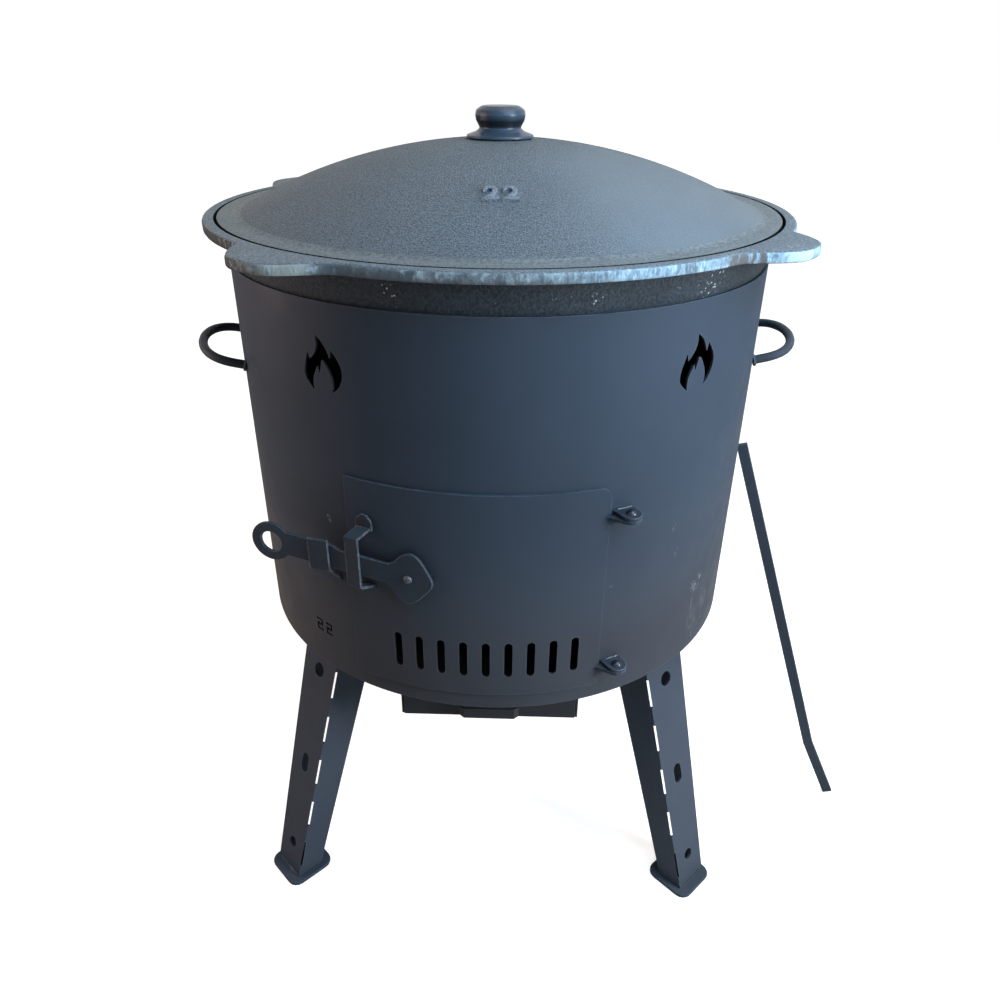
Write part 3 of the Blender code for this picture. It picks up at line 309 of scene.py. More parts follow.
def ground_iron(name):
    """The rim's edge, bare from grinding: upright strokes, dull at the left, with a painted
    bright blue reflection towards the right.
    """
    iron = Finish(name, specular=0.04)
    strokes = iron.cloud(620, 3, 0.6, iron.stretched((1, 1, 3.6)))
    coarse = iron.cloud(150, 4, 0.65, iron.stretched((1, 1, 1.3)), 0.4)
    bright = iron.span(coarse, 0.38, 0.72)
    colour = iron.blend(bright, (0.105, 0.130, 0.142), (0.340, 0.420, 0.440))
    low = iron.span(iron.along((0, 0, 1)), RIM_TOP - 0.0042, RIM_TOP - 0.0072, 0.0, 0.6)
    colour = iron.blend(low, colour, (0.045, 0.054, 0.060))
    # Painted reflection: towards +X the edge turns bright blue, standing for the sky reflected
    # in the metal.
    reflection_share = iron.span(iron.along((1, 0, 0)), AXIS.x + 0.01, AXIS.x + 0.12, 0.0, 0.80)
    painted_sky_reflection = iron.blend(iron.span(coarse, 0.30, 0.66), (0.13, 0.20, 0.25), (0.27, 0.42, 0.52))
    painted_sky_reflection = iron.blend(iron.span(strokes, 0.46, 0.70, 0.0, 0.7), painted_sky_reflection, (0.50, 0.68, 0.76))
    colour = iron.blend(reflection_share, colour, painted_sky_reflection)
    patches = iron.span(iron.cloud(34, 4, 0.6, distortion=0.5), 0.50, 0.62, 0.0, 0.55)
    colour = iron.blend(patches, colour, (0.085, 0.098, 0.105))
    # Patches of colour, some of them painted shade and a painted reflection.
    for angle, reach, size, tone, strength in EDGE_MARKS_AND_PAINTED_LIGHT:
        near = iron.away_from(rim_spot(angle, reach), (size, size, size))
        ragged = iron.sum("ADD", near, iron.span(coarse, 0.3, 0.7, -0.25, 0.25))
        colour = iron.blend(iron.span(ragged, 1.0, 0.7, 0.0, strength), colour, tone)
    roughness = iron.span(strokes, 0.3, 0.7, 0.42, 0.66)
    height = iron.sum("ADD", coarse, iron.product(strokes, 0.5))
    return iron.done(colour, roughness, iron.relief(height, 0.0008, 0.9))


def bright_steel(name):
    """Zinc-plated steel with a dull haze."""
    steel = Finish(name, metallic=0.9)
    haze = steel.span(steel.cloud(160, 4, 0.6), 0.35, 0.7)
    tone = steel.blend(haze, (0.42, 0.44, 0.46), (0.231, 0.242, 0.253))
    roughness = steel.span(steel.cloud(420, 3, 0.6), 0.3, 0.7, 0.26, 0.46)
    return steel.done(tone, roughness, steel.relief(steel.cloud(700, 2), 0.0001, 0.4))


def weld_metal(name):
    """Painted-over weld: lumps, a few bare bright spots and spatter."""
    weld = Finish(name, metallic=0.25, specular=0.5)
    ripple = weld.cloud(420, 3, 0.6)
    bare = weld.span(weld.cloud(95, 3, 0.6), 0.56, 0.70, 0.0, 0.6)
    colour = weld.blend(bare, (0.034, 0.044, 0.056), (0.20, 0.22, 0.24))
    roughness = weld.span(ripple, 0.3, 0.7, 0.34, 0.55)
    return weld.done(colour, roughness, weld.relief(ripple, 0.0004, 0.8))


def sooty_steel(name):
    """Inside of the fire box: primer darkened by smoke, with dull brown heat marks."""
    soot = Finish(name, specular=0.25)
    tone = soot.span(soot.cloud(9, 5, 0.65), 0.3, 0.7)
    colour = soot.blend(tone, (0.010, 0.011, 0.012), (0.028, 0.028, 0.029))
    heat = soot.span(soot.cloud(17, 4, 0.7), 0.58, 0.74, 0.0, 0.5)
    colour = soot.blend(heat, colour, (0.050, 0.034, 0.024))
    return soot.done(colour, soot.span(tone, 0, 1, 0.62, 0.82),
                     soot.relief(soot.cloud(600, 3), 0.0002, 0.5))


def shell_spot(angle, height):
    """A point on the outside of the shell."""
    return at_azimuth(angle, SHELL_RADIUS, height).translation


def wall_spot(angle):
    """A point on the bowl between the rim and the shell."""
    return at_azimuth(angle, SHELL_RADIUS - 0.003, SHELL_TOP + 0.012).translation


def ear_top_spot(angle):
    """A point on top of an ear."""
    return at_azimuth(angle, 0.274, RIM_TOP).translation


def rim_spot(angle, reach=0.0):
    """A point on the rim's edge, or farther out on an ear."""
    return at_azimuth(angle, RIM_RADIUS + reach, RIM_TOP - 0.004).translation


BLUE_GREY, PALE_BLUE_GREY = (0.0330, 0.0460, 0.0620), (0.0390, 0.0545, 0.0730)
SHELL_SCUFFS = [  # centre, reach each way, turn, strength
    (shell_spot(51.3, 0.3530), (0.011, 0.011, 0.0125), (0.0, 0.10, 0.0), 0.55),
    (shell_spot(50.2, 0.3160), (0.0022, 0.0022, 0.040), (0.0, 0.05, 0.0), 0.30),
    (shell_spot(57.5, 0.3080), (0.0026, 0.0026, 0.040), (0.0, 0.05, 0.0), 0.34),
    (shell_spot(53.8, 0.3100), (0.015, 0.015, 0.042), (0.0, 0.05, 0.0), 0.16),
    (shell_spot(39.7, 0.4325), (0.003, 0.003, 0.006), (0.0, 0.10, 0.0), 0.45),
    (shell_spot(41.4, 0.4050), (0.003, 0.003, 0.007), (0.0, 0.10, 0.0), 0.35),
    (shell_spot(24.9, 0.3940), (0.005, 0.005, 0.002), (0.0, 0.10, 0.0), 0.35),
    (shell_spot(-33.4, 0.4425), (0.0024, 0.0024, 0.0080), (0.0, -0.55, 0.0), 0.75)]
# Patches on the rim's edge: some are marks on the iron, while the dark one at the far left is
# painted shade and the pale blue one on the right is a painted reflection.
EDGE_MARKS_AND_PAINTED_LIGHT = [  # azimuth, reach past the rim, size, colour, strength
    (-70, 0.0, 0.130, (0.030, 0.038, 0.044), 0.85),
    (-40, 0.016, 0.022, (0.042, 0.054, 0.056), 0.85),
    (-30.5, 0.012, 0.021, (0.27, 0.31, 0.28), 0.75),
    (-24.5, 0.004, 0.007, (0.055, 0.068, 0.076), 0.8),
    (-18, 0.0, 0.036, (0.085, 0.110, 0.126), 0.7),
    (42, 0.016, 0.025, (0.100, 0.095, 0.085), 0.85),
    (51, 0.026, 0.017, (0.44, 0.58, 0.60), 0.65)]
# Painted warm bounce light from the floor on the shell and door paint: none above the first
# height, full below the second.
PAINTED_WARM_BOUNCE = (SHELL_LOW + 0.193, SHELL_LOW + 0.023, (1.20, 0.97, 0.84))
SLATE = satin_paint("slate_stove_paint", BLUE_GREY, PALE_BLUE_GREY, painted_warm_bounce=PAINTED_WARM_BOUNCE)
SHELL_PAINT = satin_paint("slate_shell_paint", BLUE_GREY, PALE_BLUE_GREY, scuffs=SHELL_SCUFFS,
                          painted_warm_bounce=PAINTED_WARM_BOUNCE)
# Its pale rubbed edges are partly real wear and partly painted edge highlights.
SHEET_PAINT = satin_paint("latch_paint", (0.0330, 0.0420, 0.0530), (0.0410, 0.0520, 0.0650),
                          worn_and_highlight=(0.30, 0.36, 0.41), wear=1.0)
LEG_PAINT = satin_paint("leg_paint", (0.0412, 0.0522, 0.0673), (0.0494, 0.0627, 0.0798),
                        wear=0.6)
# Painted shade for the legs' inner faces, which stand in shadow.
LEG_INSIDE_PAINTED_SHADE = satin_paint("leg_inside_painted_shade", (0.0110, 0.0125, 0.0145),
                         (0.0180, 0.0200, 0.0225), wear=0.5, gloss=0.05)
DRAWER_PAINT = satin_paint("drawer_paint", (0.0270, 0.0300, 0.0340), (0.0330, 0.0370, 0.0410),
                           wear=0.5)
SOOT = sooty_steel("sooty_fire_box")
LID_IRON = casting("cast_lid_grain", (0.134, 0.164, 0.187), (0.158, 0.193, 0.217), 860,
                   0.0024, (0.54, 0.70), 0.22, specks=0.55, wear=0.25, shades=(0.50, 1.22),
                   calm=(at_azimuth(58, 0.190, RIM_TOP + 0.02).translation,
                         (0.13, 0.16, 0.13)))
NUMERAL_IRON = casting("lid_numerals_rubbed", (0.150, 0.188, 0.218), (0.188, 0.232, 0.262), 560,
                       0.0016, (0.50, 0.66), 0.3, wear=0.6)
LID_BAND_IRON = casting("lid_band_rubbed", (0.126, 0.148, 0.158), (0.153, 0.176, 0.186), 420,
                        0.00022, (0.56, 0.70), 0.22, wear=0.25)
WALL_CHIPS = [(wall_spot(-16.5), 0.013), (wall_spot(1.3), 0.006), (wall_spot(10.6), 0.006),
              (wall_spot(17.5), 0.008), (wall_spot(41), 0.018), (wall_spot(33), 0.006)]
EAR_CHIPS = [(ear_top_spot(-37.5), 0.009), (ear_top_spot(53), 0.010)]
RIM_IRON = casting("rim_top_iron", (0.118, 0.152, 0.178), (0.150, 0.190, 0.218), 760,
                   0.00110, (0.50, 0.66), 0.30, specks=0.9, wear=0.5, shades=(0.50, 1.20),
                   chips=EAR_CHIPS)
# Painted shade: near-black for the recess that holds the lid and for the lid's edge in it, where
# shade falls.
GAP_PAINTED_SHADE = casting("recess_painted_shade", (0.004, 0.005, 0.006), (0.007, 0.008, 0.009), 400,
                   0.0003, (0.80, 0.95), 0.05, wear=0.0)
RIM_EDGE = ground_iron("rim_edge_ground")
BOWL_IRON = casting("raw_bowl_iron", (0.019, 0.029, 0.037), (0.031, 0.045, 0.055), 420,
                    0.0010, (0.60, 0.82), 0.22, specks=0.9, tint=(0.040, 0.034, 0.030),
                    chips=WALL_CHIPS)
BOWL_INSIDE = casting("oiled_bowl_iron", (0.020, 0.021, 0.022), (0.034, 0.034, 0.033), 480,
                      0.0004, (0.34, 0.50), 0.5, wear=0.0)
# Its dark band at the waist is painted shade under the cap.
KNOB_PAINT = satin_paint("knob_enamel", (0.0270, 0.0460, 0.0680), (0.0330, 0.0550, 0.0800),
                         wear=0.2, gloss=0.25, rough=(0.26, 0.34),
                         painted_shade_band=(KNOB_LOW + 0.0086, KNOB_LOW + 0.0154))
RIVET_PAINT = satin_paint("rivet_paint", (0.0330, 0.0390, 0.0460), (0.0450, 0.0530, 0.0620),
                          worn_and_highlight=(0.32, 0.35, 0.37), wear=1.0, gloss=0.5, rough=(0.28, 0.36))
PIN_PAINT = satin_paint("pin_paint", (0.0110, 0.0160, 0.0230), (0.0160, 0.0230, 0.0320),
                        worn_and_highlight=(0.20, 0.24, 0.28), wear=0.5, gloss=0.4, rough=(0.20, 0.28))
ZINC = bright_steel("zinc_steel")
WELD = weld_metal("painted_weld")
GRATE_IRON = casting("grate_iron", (0.030, 0.030, 0.030), (0.052, 0.049, 0.046), 380,
                     0.0006, (0.55, 0.78), 0.35, tint=(0.090, 0.052, 0.030))


# Making pieces

def body_of(node):
    return frame["nodes"][node]["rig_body"]


def placed(name, data):
    made = bpy.data.objects.new(name, data)
    bpy.context.scene.collection.objects.link(made)
    return made


def piece(name, shape, finishes, node=None, body=None, slot=None, smooth=35, edge=0.0,
          harden=False):
    """Turns a bmesh, in the stove's place, into a piece that rides on its body.

    It stands for a node of the CAD, or, without one, is trim on a body; its slot is not used.
    """
    mesh = bpy.data.meshes.new(name)
    shape.to_mesh(mesh)
    shape.free()
    for finish in finishes:
        mesh.materials.append(finish)
    mesh.shade_smooth()
    mesh.set_sharp_from_angle(angle=radians(smooth))
    made = placed(name, mesh)
    if edge:
        rounding = made.modifiers.new("rounding", "BEVEL")
        rounding.width = edge
        rounding.segments = 2
        rounding.limit_method = "ANGLE"
        rounding.angle_limit = radians(38)
        rounding.harden_normals = harden
    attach(made, body or body_of(node))
    if node:
        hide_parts(node)
    slot or node
    return made


def put_right(shape):
    """Merges doubles and turns the faces out."""
    bmesh.ops.remove_doubles(shape, verts=shape.verts, dist=1e-6)
    bmesh.ops.recalc_face_normals(shape, faces=shape.faces)
    return shape


def moved(shape, matrix):
    bmesh.ops.transform(shape, matrix=matrix, verts=shape.verts)
    return shape


def to_axis(shape):
    return moved(shape, Matrix.Translation(AXIS))


def faces_with_places(shape):
    """Each face with its middle, its distance from the axis and its azimuth."""
    for face in shape.faces:
        middle = face.calc_center_median()
        yield face, middle, hypot(middle.x, middle.y), degrees(atan2(middle.x, -middle.y))


def gather(*shapes):
    """Puts several bmeshes in one."""
    whole = bmesh.new()
    for shape in shapes:
        holder = bpy.data.meshes.new("holder")
        shape.to_mesh(holder)
        whole.from_mesh(holder)
        bpy.data.meshes.remove(holder)
        shape.free()
    return whole


def mesh_of(thing):
    """A bmesh of an object as it looks now; the object and its data are then removed."""
    bpy.context.view_layer.update()
    graph = bpy.context.evaluated_depsgraph_get()
    mesh = bpy.data.meshes.new_from_object(thing.evaluated_get(graph))
    shape = bmesh.new()
    shape.from_mesh(mesh)
    bpy.data.meshes.remove(mesh)
    bpy.data.objects.remove(thing, do_unlink=True)
    return shape


def joined(shape, other, operation="DIFFERENCE"):
    """Cuts one closed bmesh from another, or joins the two."""
    holders = []
    for item in (shape, other):
        mesh = bpy.data.meshes.new("holder")
        item.to_mesh(mesh)
        item.free()
        holders.append(placed("holder", mesh))
    modifier = holders[0].modifiers.new("cut", "BOOLEAN")
    modifier.operation = operation
    modifier.solver = "EXACT"
    modifier.object = holders[1]
    result = mesh_of(holders[0])
    bpy.data.objects.remove(holders[1], do_unlink=True)
    return result


def thickened(shape, faces, way):
    """A solid from faces that are drawn out."""
    made = bmesh.ops.extrude_face_region(shape, geom=faces)["geom"]
    verts = [item for item in made if isinstance(item, bmesh.types.BMVert)]
    bmesh.ops.translate(shape, verts=verts, vec=way)
    bmesh.ops.recalc_face_normals(shape, faces=shape.faces)
    return shape


def slab(outline, axes, start, stop):
    """A solid from a flat outline; axes are the outline's two directions and its depth's."""
    across, along, depth = (Vector(axis) for axis in axes)
    shape = bmesh.new()
    face = shape.faces.new(
        [shape.verts.new(across * a + along * b + depth * start) for a, b in outline])
    return thickened(shape, [face], depth * (stop - start))


UPRIGHT = ((1, 0, 0), (0, 0, 1), (0, 1, 0))
FLAT = ((1, 0, 0), (0, 1, 0), (0, 0, 1))
SIDEWAYS = ((0, 1, 0), (0, 0, 1), (1, 0, 0))


def arc(centre, radius, start, stop, steps):
    turns = [radians(start + (stop - start) * step / steps) for step in range(steps + 1)]
    return [(centre[0] + radius * cos(turn), centre[1] + radius * sin(turn)) for turn in turns]


def circle(radius, steps, centre=(0, 0)):
    return arc(centre, radius, 0, 360, steps)[:-1]


def obround(width, length, steps=10):
    reach = (length - width) / 2
    return (arc((0, reach), width / 2, 0, 180, steps)
            + arc((0, -reach), width / 2, 180, 360, steps))


def filleted(corners, steps=5, closed=True):
    """An outline of (across, up, radius) corners with each corner rounded to its radius."""
    points = []
    for index, (x, y, radius) in enumerate(corners):
        here = Vector((x, y))
        if radius <= 0 or (not closed and index in (0, len(corners) - 1)):
            points.append((x, y))
            continue
        before = (Vector(corners[index - 1][:2]) - here).normalized()
        after = (Vector(corners[(index + 1) % len(corners)][:2]) - here).normalized()
        half = before.angle(after) / 2
        centre = here + (before + after).normalized() * (radius / sin(half))
        start = here + before * (radius / tan(half)) - centre
        stop = here + after * (radius / tan(half)) - centre
        for step in range(steps + 1):
            spot = (start * (steps - step) + stop * step).normalized() * radius
            points.append(tuple(centre + spot))
    return points


def flowing(points, steps=4):
    """A smooth open line through points."""
    line = []
    spots = [Vector(point) for point in points]
    spots = [spots[0] * 2 - spots[1], *spots, spots[-1] * 2 - spots[-2]]
    for a, b, c, d in zip(spots, spots[1:], spots[2:], spots[3:]):
        for step in range(steps):
            t = step / steps
            line.append(tuple((b * 2 + (c - a) * t + (a * 2 - b * 5 + c * 4 - d) * t ** 2
                               + (b * 3 - a - c * 3 + d) * t ** 3) / 2))
    return line + [tuple(spots[-2])]


def spun(profile, steps):
    """A solid of revolution about Z from a closed outline of (radius, height) points."""
    shape = bmesh.new()
    verts = [shape.verts.new((radius, 0, height)) for radius, height in profile]
    edges = [shape.edges.new(pair) for pair in zip(verts, verts[1:] + verts[:1])
             if pair[0].co.x > 0 or pair[1].co.x > 0]
    bmesh.ops.spin(shape, geom=verts + edges, cent=(0, 0, 0), axis=(0, 0, 1), dvec=(0, 0, 0),
                   angle=2 * pi, steps=steps, use_merge=True, use_duplicate=False)
    return put_right(shape)


def curved_sheet(inside, outside, left, right, low, high, steps):
    """A sheet bent round the stove's axis, between two azimuths."""
    shape = bmesh.new()
    ends = [shape.verts.new((0, -reach, low)) for reach in (inside, outside)]
    edge = shape.edges.new(ends)
    bmesh.ops.rotate(shape, verts=ends, cent=(0, 0, 0),
                     matrix=Matrix.Rotation(radians(left), 3, "Z"))
    bmesh.ops.spin(shape, geom=[*ends, edge], cent=(0, 0, 0), axis=(0, 0, 1), dvec=(0, 0, 0),
                   angle=radians(right - left), steps=steps, use_duplicate=False)
    return thickened(shape, shape.faces[:], (0, 0, high - low))


def strip_outline(path, thickness, bend):
    """The side view of a bent strip: its corners lie on one face, its body is on their left."""
    spots = [Vector(point) for point in path]
    near, far = [], []
    for index, spot in enumerate(spots):
        runs = [(stop - start).normalized() for start, stop in
                zip(spots[max(index - 1, 0):index + 1], spots[max(index, 1):index + 2])]
        lefts = [Vector((-run.y, run.x)) for run in runs]
        mitre = (lefts[0] + lefts[-1]).normalized()
        across = mitre * (thickness / mitre.dot(lefts[0]))
        turn = runs[0].x * runs[-1].y - runs[0].y * runs[-1].x
        ends = index in (0, len(spots) - 1)
        near.append((*spot, 0 if ends else bend + (thickness if turn > 0 else 0)))
        far.append((*(spot + across), 0 if ends else bend + (thickness if turn < 0 else 0)))
    return (filleted(near, 5, closed=False)
            + filleted(far, 5, closed=False)[::-1])


def bar_along(points, radius, swell=None, closed=False, level=3):
    """A round bar along points; swell gives the share of its radius at each point."""
    line = bpy.data.curves.new("line", "CURVE")
    line.dimensions = "3D"
    line.bevel_depth = radius
    line.bevel_resolution = level
    line.use_fill_caps = not closed
    spline = line.splines.new("POLY")
    spline.points.add(len(points) - 1)
    for index, point in enumerate(points):
        spline.points[index].co = (*point, 1)
        spline.points[index].radius = swell[index] if swell else 1
    spline.use_cyclic_u = closed
    shape = put_right(mesh_of(placed("line", line)))
    bpy.data.curves.remove(line)
    return shape


def bead(points, radius, pitch=0.0016, closed=False):
    """A weld bead along points, rippled like a row of small scales."""
    spots = [Vector(point) for point in points]
    runs = list(zip(spots, spots[1:] + ([spots[0]] if closed else [])))
    fine = []
    for start, stop in runs:
        count = max(1, round((stop - start).length / (pitch / 4)))
        fine += [start.lerp(stop, step / count) for step in range(count)]
    if not closed:
        fine.append(spots[-1])
    swell = []
    for index, spot in enumerate(fine):
        ripple = 0.90 + 0.13 * sin(index * pi / 2) + 0.16 * noise.noise(spot * 300)
        end = 1 if closed else min(1, 0.45 + 0.2 * min(index, len(fine) - 1 - index))
        swell.append(ripple * end)
    return bar_along(fine, radius, swell, closed, level=1)


def weld(name, shape, body, slot):
    """A weld bead, which is trim on what it holds."""
    piece(name, shape, [WELD], None, body, slot)


def dressed(node, finish, edge):
    """A CAD node's own shape, merged and with its edges rounded."""
    shape = bmesh.new()
    shape.from_mesh(frame["nodes"][node].data)
    bmesh.ops.remove_doubles(shape, verts=shape.verts, dist=1e-5)
    bmesh.ops.dissolve_limit(shape, angle_limit=radians(1), verts=shape.verts,
                             edges=shape.edges, use_dissolve_boundaries=False)
    return piece(f"{node}_finished", shape, [finish], node, edge=edge, harden=True)


# Fire box

FLAME_WIDTH, FLAME_HEIGHT = 0.0382, 0.0441
FLAME_LOW = 0.5560
FLAME_STROKES = [  # shares of its width and height; each starts where the one before ends
    [(0.031, 0.914), (0.131, 0.807), (0.183, 0.719), (0.223, 0.639)],
    [(0.264, 0.796)],
    [(0.390, 0.662), (0.484, 0.515), (0.497, 0.363), (0.442, 0.222), (0.351, 0.113),
     (0.215, 0.018)],
    [(0.249, 0.136), (0.236, 0.274), (0.170, 0.404), (0.073, 0.535), (0.003, 0.578)],
    [(-0.021, 0.485), (-0.079, 0.331)],
    [(-0.126, 0.454)],
    [(-0.175, 0.381), (-0.251, 0.249), (-0.277, 0.132), (-0.264, 0.000)],
    [(-0.387, 0.086), (-0.492, 0.197), (-0.503, 0.327), (-0.453, 0.490), (-0.372, 0.683)],
    [(-0.338, 0.612), (-0.322, 0.549)],
    [(-0.243, 0.612), (-0.149, 0.723), (-0.102, 0.830), (-0.107, 0.934), (-0.102, 1.000)]]
FLAME_VENTS, FLAME_PITCH_AZ = 5, 72
AIR_SLOTS, AIR_SLOT_SIZE, AIR_SLOT_HEIGHT = 9, (0.007, 0.036), DOOR_LOW + 0.038
AIR_SLOT_MIDDLE_AZ, AIR_SLOT_PITCH_AZ = -0.5, 4.5
NUMERAL_WIDTH, NUMERAL_HEIGHT, NUMERAL_SPACING = 0.0085, 0.0135, 0.0045
NUMERAL_AZ, NUMERAL_LOW = -39.0, SHELL_LOW + 0.036
NUMERAL_TWO_SHARES = [
    (-0.50, 1.00), (0.50, 1.00), (0.50, 0.40), (-0.24, 0.40), (-0.24, 0.18), (0.50, 0.18),
    (0.50, 0.00), (-0.50, 0.00), (-0.50, 0.60), (0.24, 0.60), (0.24, 0.82), (-0.50, 0.82)]


def flame_cutter(angle):
    outline, start = [], FLAME_STROKES[-1][-1]
    for stroke in FLAME_STROKES:
        line = [start, *stroke]
        shares = flowing(line) if len(line) > 2 else line
        outline += [(x * FLAME_WIDTH, z * FLAME_HEIGHT) for x, z in shares[:-1]]
        start = stroke[-1]
    cutter = slab(outline, UPRIGHT, -OVERRUN, SHELL_SHEET + OVERRUN)
    return moved(cutter, on_axis(angle, SHELL_RADIUS, FLAME_LOW))


def make_shell():
    """The rolled sheet: flame vents, plain numerals, the fire opening and the seam behind."""
    inside = SHELL_RADIUS - SHELL_SHEET
    sheet = spun([(SHELL_RADIUS, SHELL_LOW), (SHELL_RADIUS, SHELL_TOP),
                  (inside, SHELL_TOP), (inside, SHELL_LOW)], 240)
    cutters = [flame_cutter(UPPER_TURN_AZ + FLAME_PITCH_AZ * (index + 0.5))
               for index in range(FLAME_VENTS)]
    outline = [(x * NUMERAL_WIDTH, z * NUMERAL_HEIGHT) for x, z in NUMERAL_TWO_SHARES]
    for side in (-1, 1):
        spot = side * (NUMERAL_WIDTH + NUMERAL_SPACING) / 2
        digit = slab([(x + spot, z) for x, z in outline], UPRIGHT, -OVERRUN,
                     SHELL_SHEET + OVERRUN)
        cutters.append(moved(digit, on_axis(NUMERAL_AZ, SHELL_RADIUS, NUMERAL_LOW)))
    margin = degrees(DOOR_OVERLAP / SHELL_RADIUS)
    cutters.append(curved_sheet(inside - OVERRUN, SHELL_RADIUS + OVERRUN,
                                DOOR_LEFT_AZ + margin, DOOR_RIGHT_AZ - margin,
                                DOOR_LOW + DOOR_OVERLAP, DOOR_TOP - DOOR_OVERLAP, 24))
    shape = joined(sheet, gather(*cutters))
    # The inside and the walls of the cuts take the dark fire-box finish.
    for face, middle, reach, _ in faces_with_places(shape):
        face.material_index = int(reach < SHELL_RADIUS - TOUCH
                                  and SHELL_LOW + OVERRUN < middle.z < SHELL_TOP - OVERRUN)
    piece("rolled_shell", to_axis(shape), [SHELL_PAINT, SOOT], "body_shell", smooth=30,
          edge=0.00045)
    seam = [at_azimuth(180, SHELL_RADIUS - 0.0004, height).translation
            for height in (SHELL_LOW + 0.004, SHELL_TOP - 0.004)]
    weld("shell_seam_weld", bead(seam, 0.0014), "stove", "body_shell")


def make_door():
    """The curved door with a rounded upper corner at the hinges and a row of air slots."""
    plate = curved_sheet(DOOR_INSIDE, DOOR_OUTSIDE, DOOR_LEFT_AZ, DOOR_RIGHT_AZ,
                         DOOR_LOW, DOOR_TOP, 52)
    cutters = []
    for index in range(AIR_SLOTS):
        slot = slab(obround(*AIR_SLOT_SIZE), UPRIGHT, -OVERRUN, DOOR_SHEET + OVERRUN)
        angle = AIR_SLOT_MIDDLE_AZ + AIR_SLOT_PITCH_AZ * (index - AIR_SLOTS // 2)
        cutters.append(moved(slot, on_axis(angle, DOOR_OUTSIDE, AIR_SLOT_HEIGHT)))
    corner = arc((-DOOR_CORNER, -DOOR_CORNER), DOOR_CORNER, 90, 0, 12)
    corner += [(OVERRUN, -DOOR_CORNER), (OVERRUN, OVERRUN), (-DOOR_CORNER, OVERRUN)]
    cutter = slab(corner, UPRIGHT, -OVERRUN, DOOR_SHEET + OVERRUN)
    cutters.append(moved(cutter, on_axis(DOOR_RIGHT_AZ, DOOR_OUTSIDE, DOOR_TOP)))
    shape = joined(plate, gather(*cutters))
    for vert in shape.verts:
        if degrees(atan2(vert.co.x, -vert.co.y)) < DOOR_LEFT_AZ + 0.2:
            lean = DOOR_LEAN_AZ * (vert.co.z - DOOR_LOW) / (DOOR_TOP - DOOR_LOW)
            vert.co = Matrix.Rotation(radians(lean), 3, "Z") @ vert.co
    # The inside and the walls of the slots take the dark fire-box finish.
    for face, middle, reach, azimuth in faces_with_places(shape):
        face.material_index = int(reach < DOOR_OUTSIDE - TOUCH
                                  and DOOR_LEFT_AZ + 1 < azimuth < DOOR_RIGHT_AZ - 1
                                  and DOOR_LOW + OVERRUN < middle.z < DOOR_TOP - OVERRUN)
    piece("curved_fire_door", to_axis(shape), [SLATE, SOOT], "fire_door", smooth=30,
          edge=0.0005)


# Hinges and latch

HINGE_AZ, HINGE_RADIUS = 26.1, SHELL_RADIUS + 0.0105
LATCH_AZ, LATCH_HEIGHT, LATCH_TILT = -15.2, DOOR_LOW + 0.1165, 6.2
LATCH_WASHER, LATCH_SHEET, STRIP_SHEET = 0.0015, 0.003, 0.002
LATCH_OUTSIDE = DOOR_OUTSIDE + LATCH_WASHER + 2 * TOUCH + LATCH_SHEET
EAR_NOSE, EAR_HOLE = 0.0085, 0.0033
EAR_OWNERS = (  # whose, azimuths of its two sides at the root, what it stands on
    ("shell", 23.6, 28.1, SHELL_RADIUS), ("door", 21.9, 22.8, DOOR_OUTSIDE))
EAR_WELD_AZ = (24.6, 25.6, 26.8, 27.8)
PIN_HEAD, PIN_SHANK = 0.0045, 0.003


def domed_pin(head, dome, shank, length):
    """A pin with a rounded head on z = 0 and its shank below."""
    ball = (head ** 2 + dome ** 2) / (2 * dome)
    sweep = degrees(acos((ball - dome) / ball))
    top = arc((0, dome - ball), ball, 90, 90 - sweep, 8)
    lip = [(head, -0.0002), (shank, -0.0002), (shank, 0.0004 - length),
           (shank - 0.0004, -length), (0, -length)]
    return spun(top + lip, 40)


def cut_round(shape, place, reach):
    """Places a shape and cuts it back to a drum about the stove's axis."""
    drum = spun([(0, SHELL_LOW), (reach, SHELL_LOW), (reach, SHELL_TOP), (0, SHELL_TOP)], 240)
    shape = joined(moved(shape, Matrix.Translation(-AXIS) @ place), drum)
    return to_axis(shape)


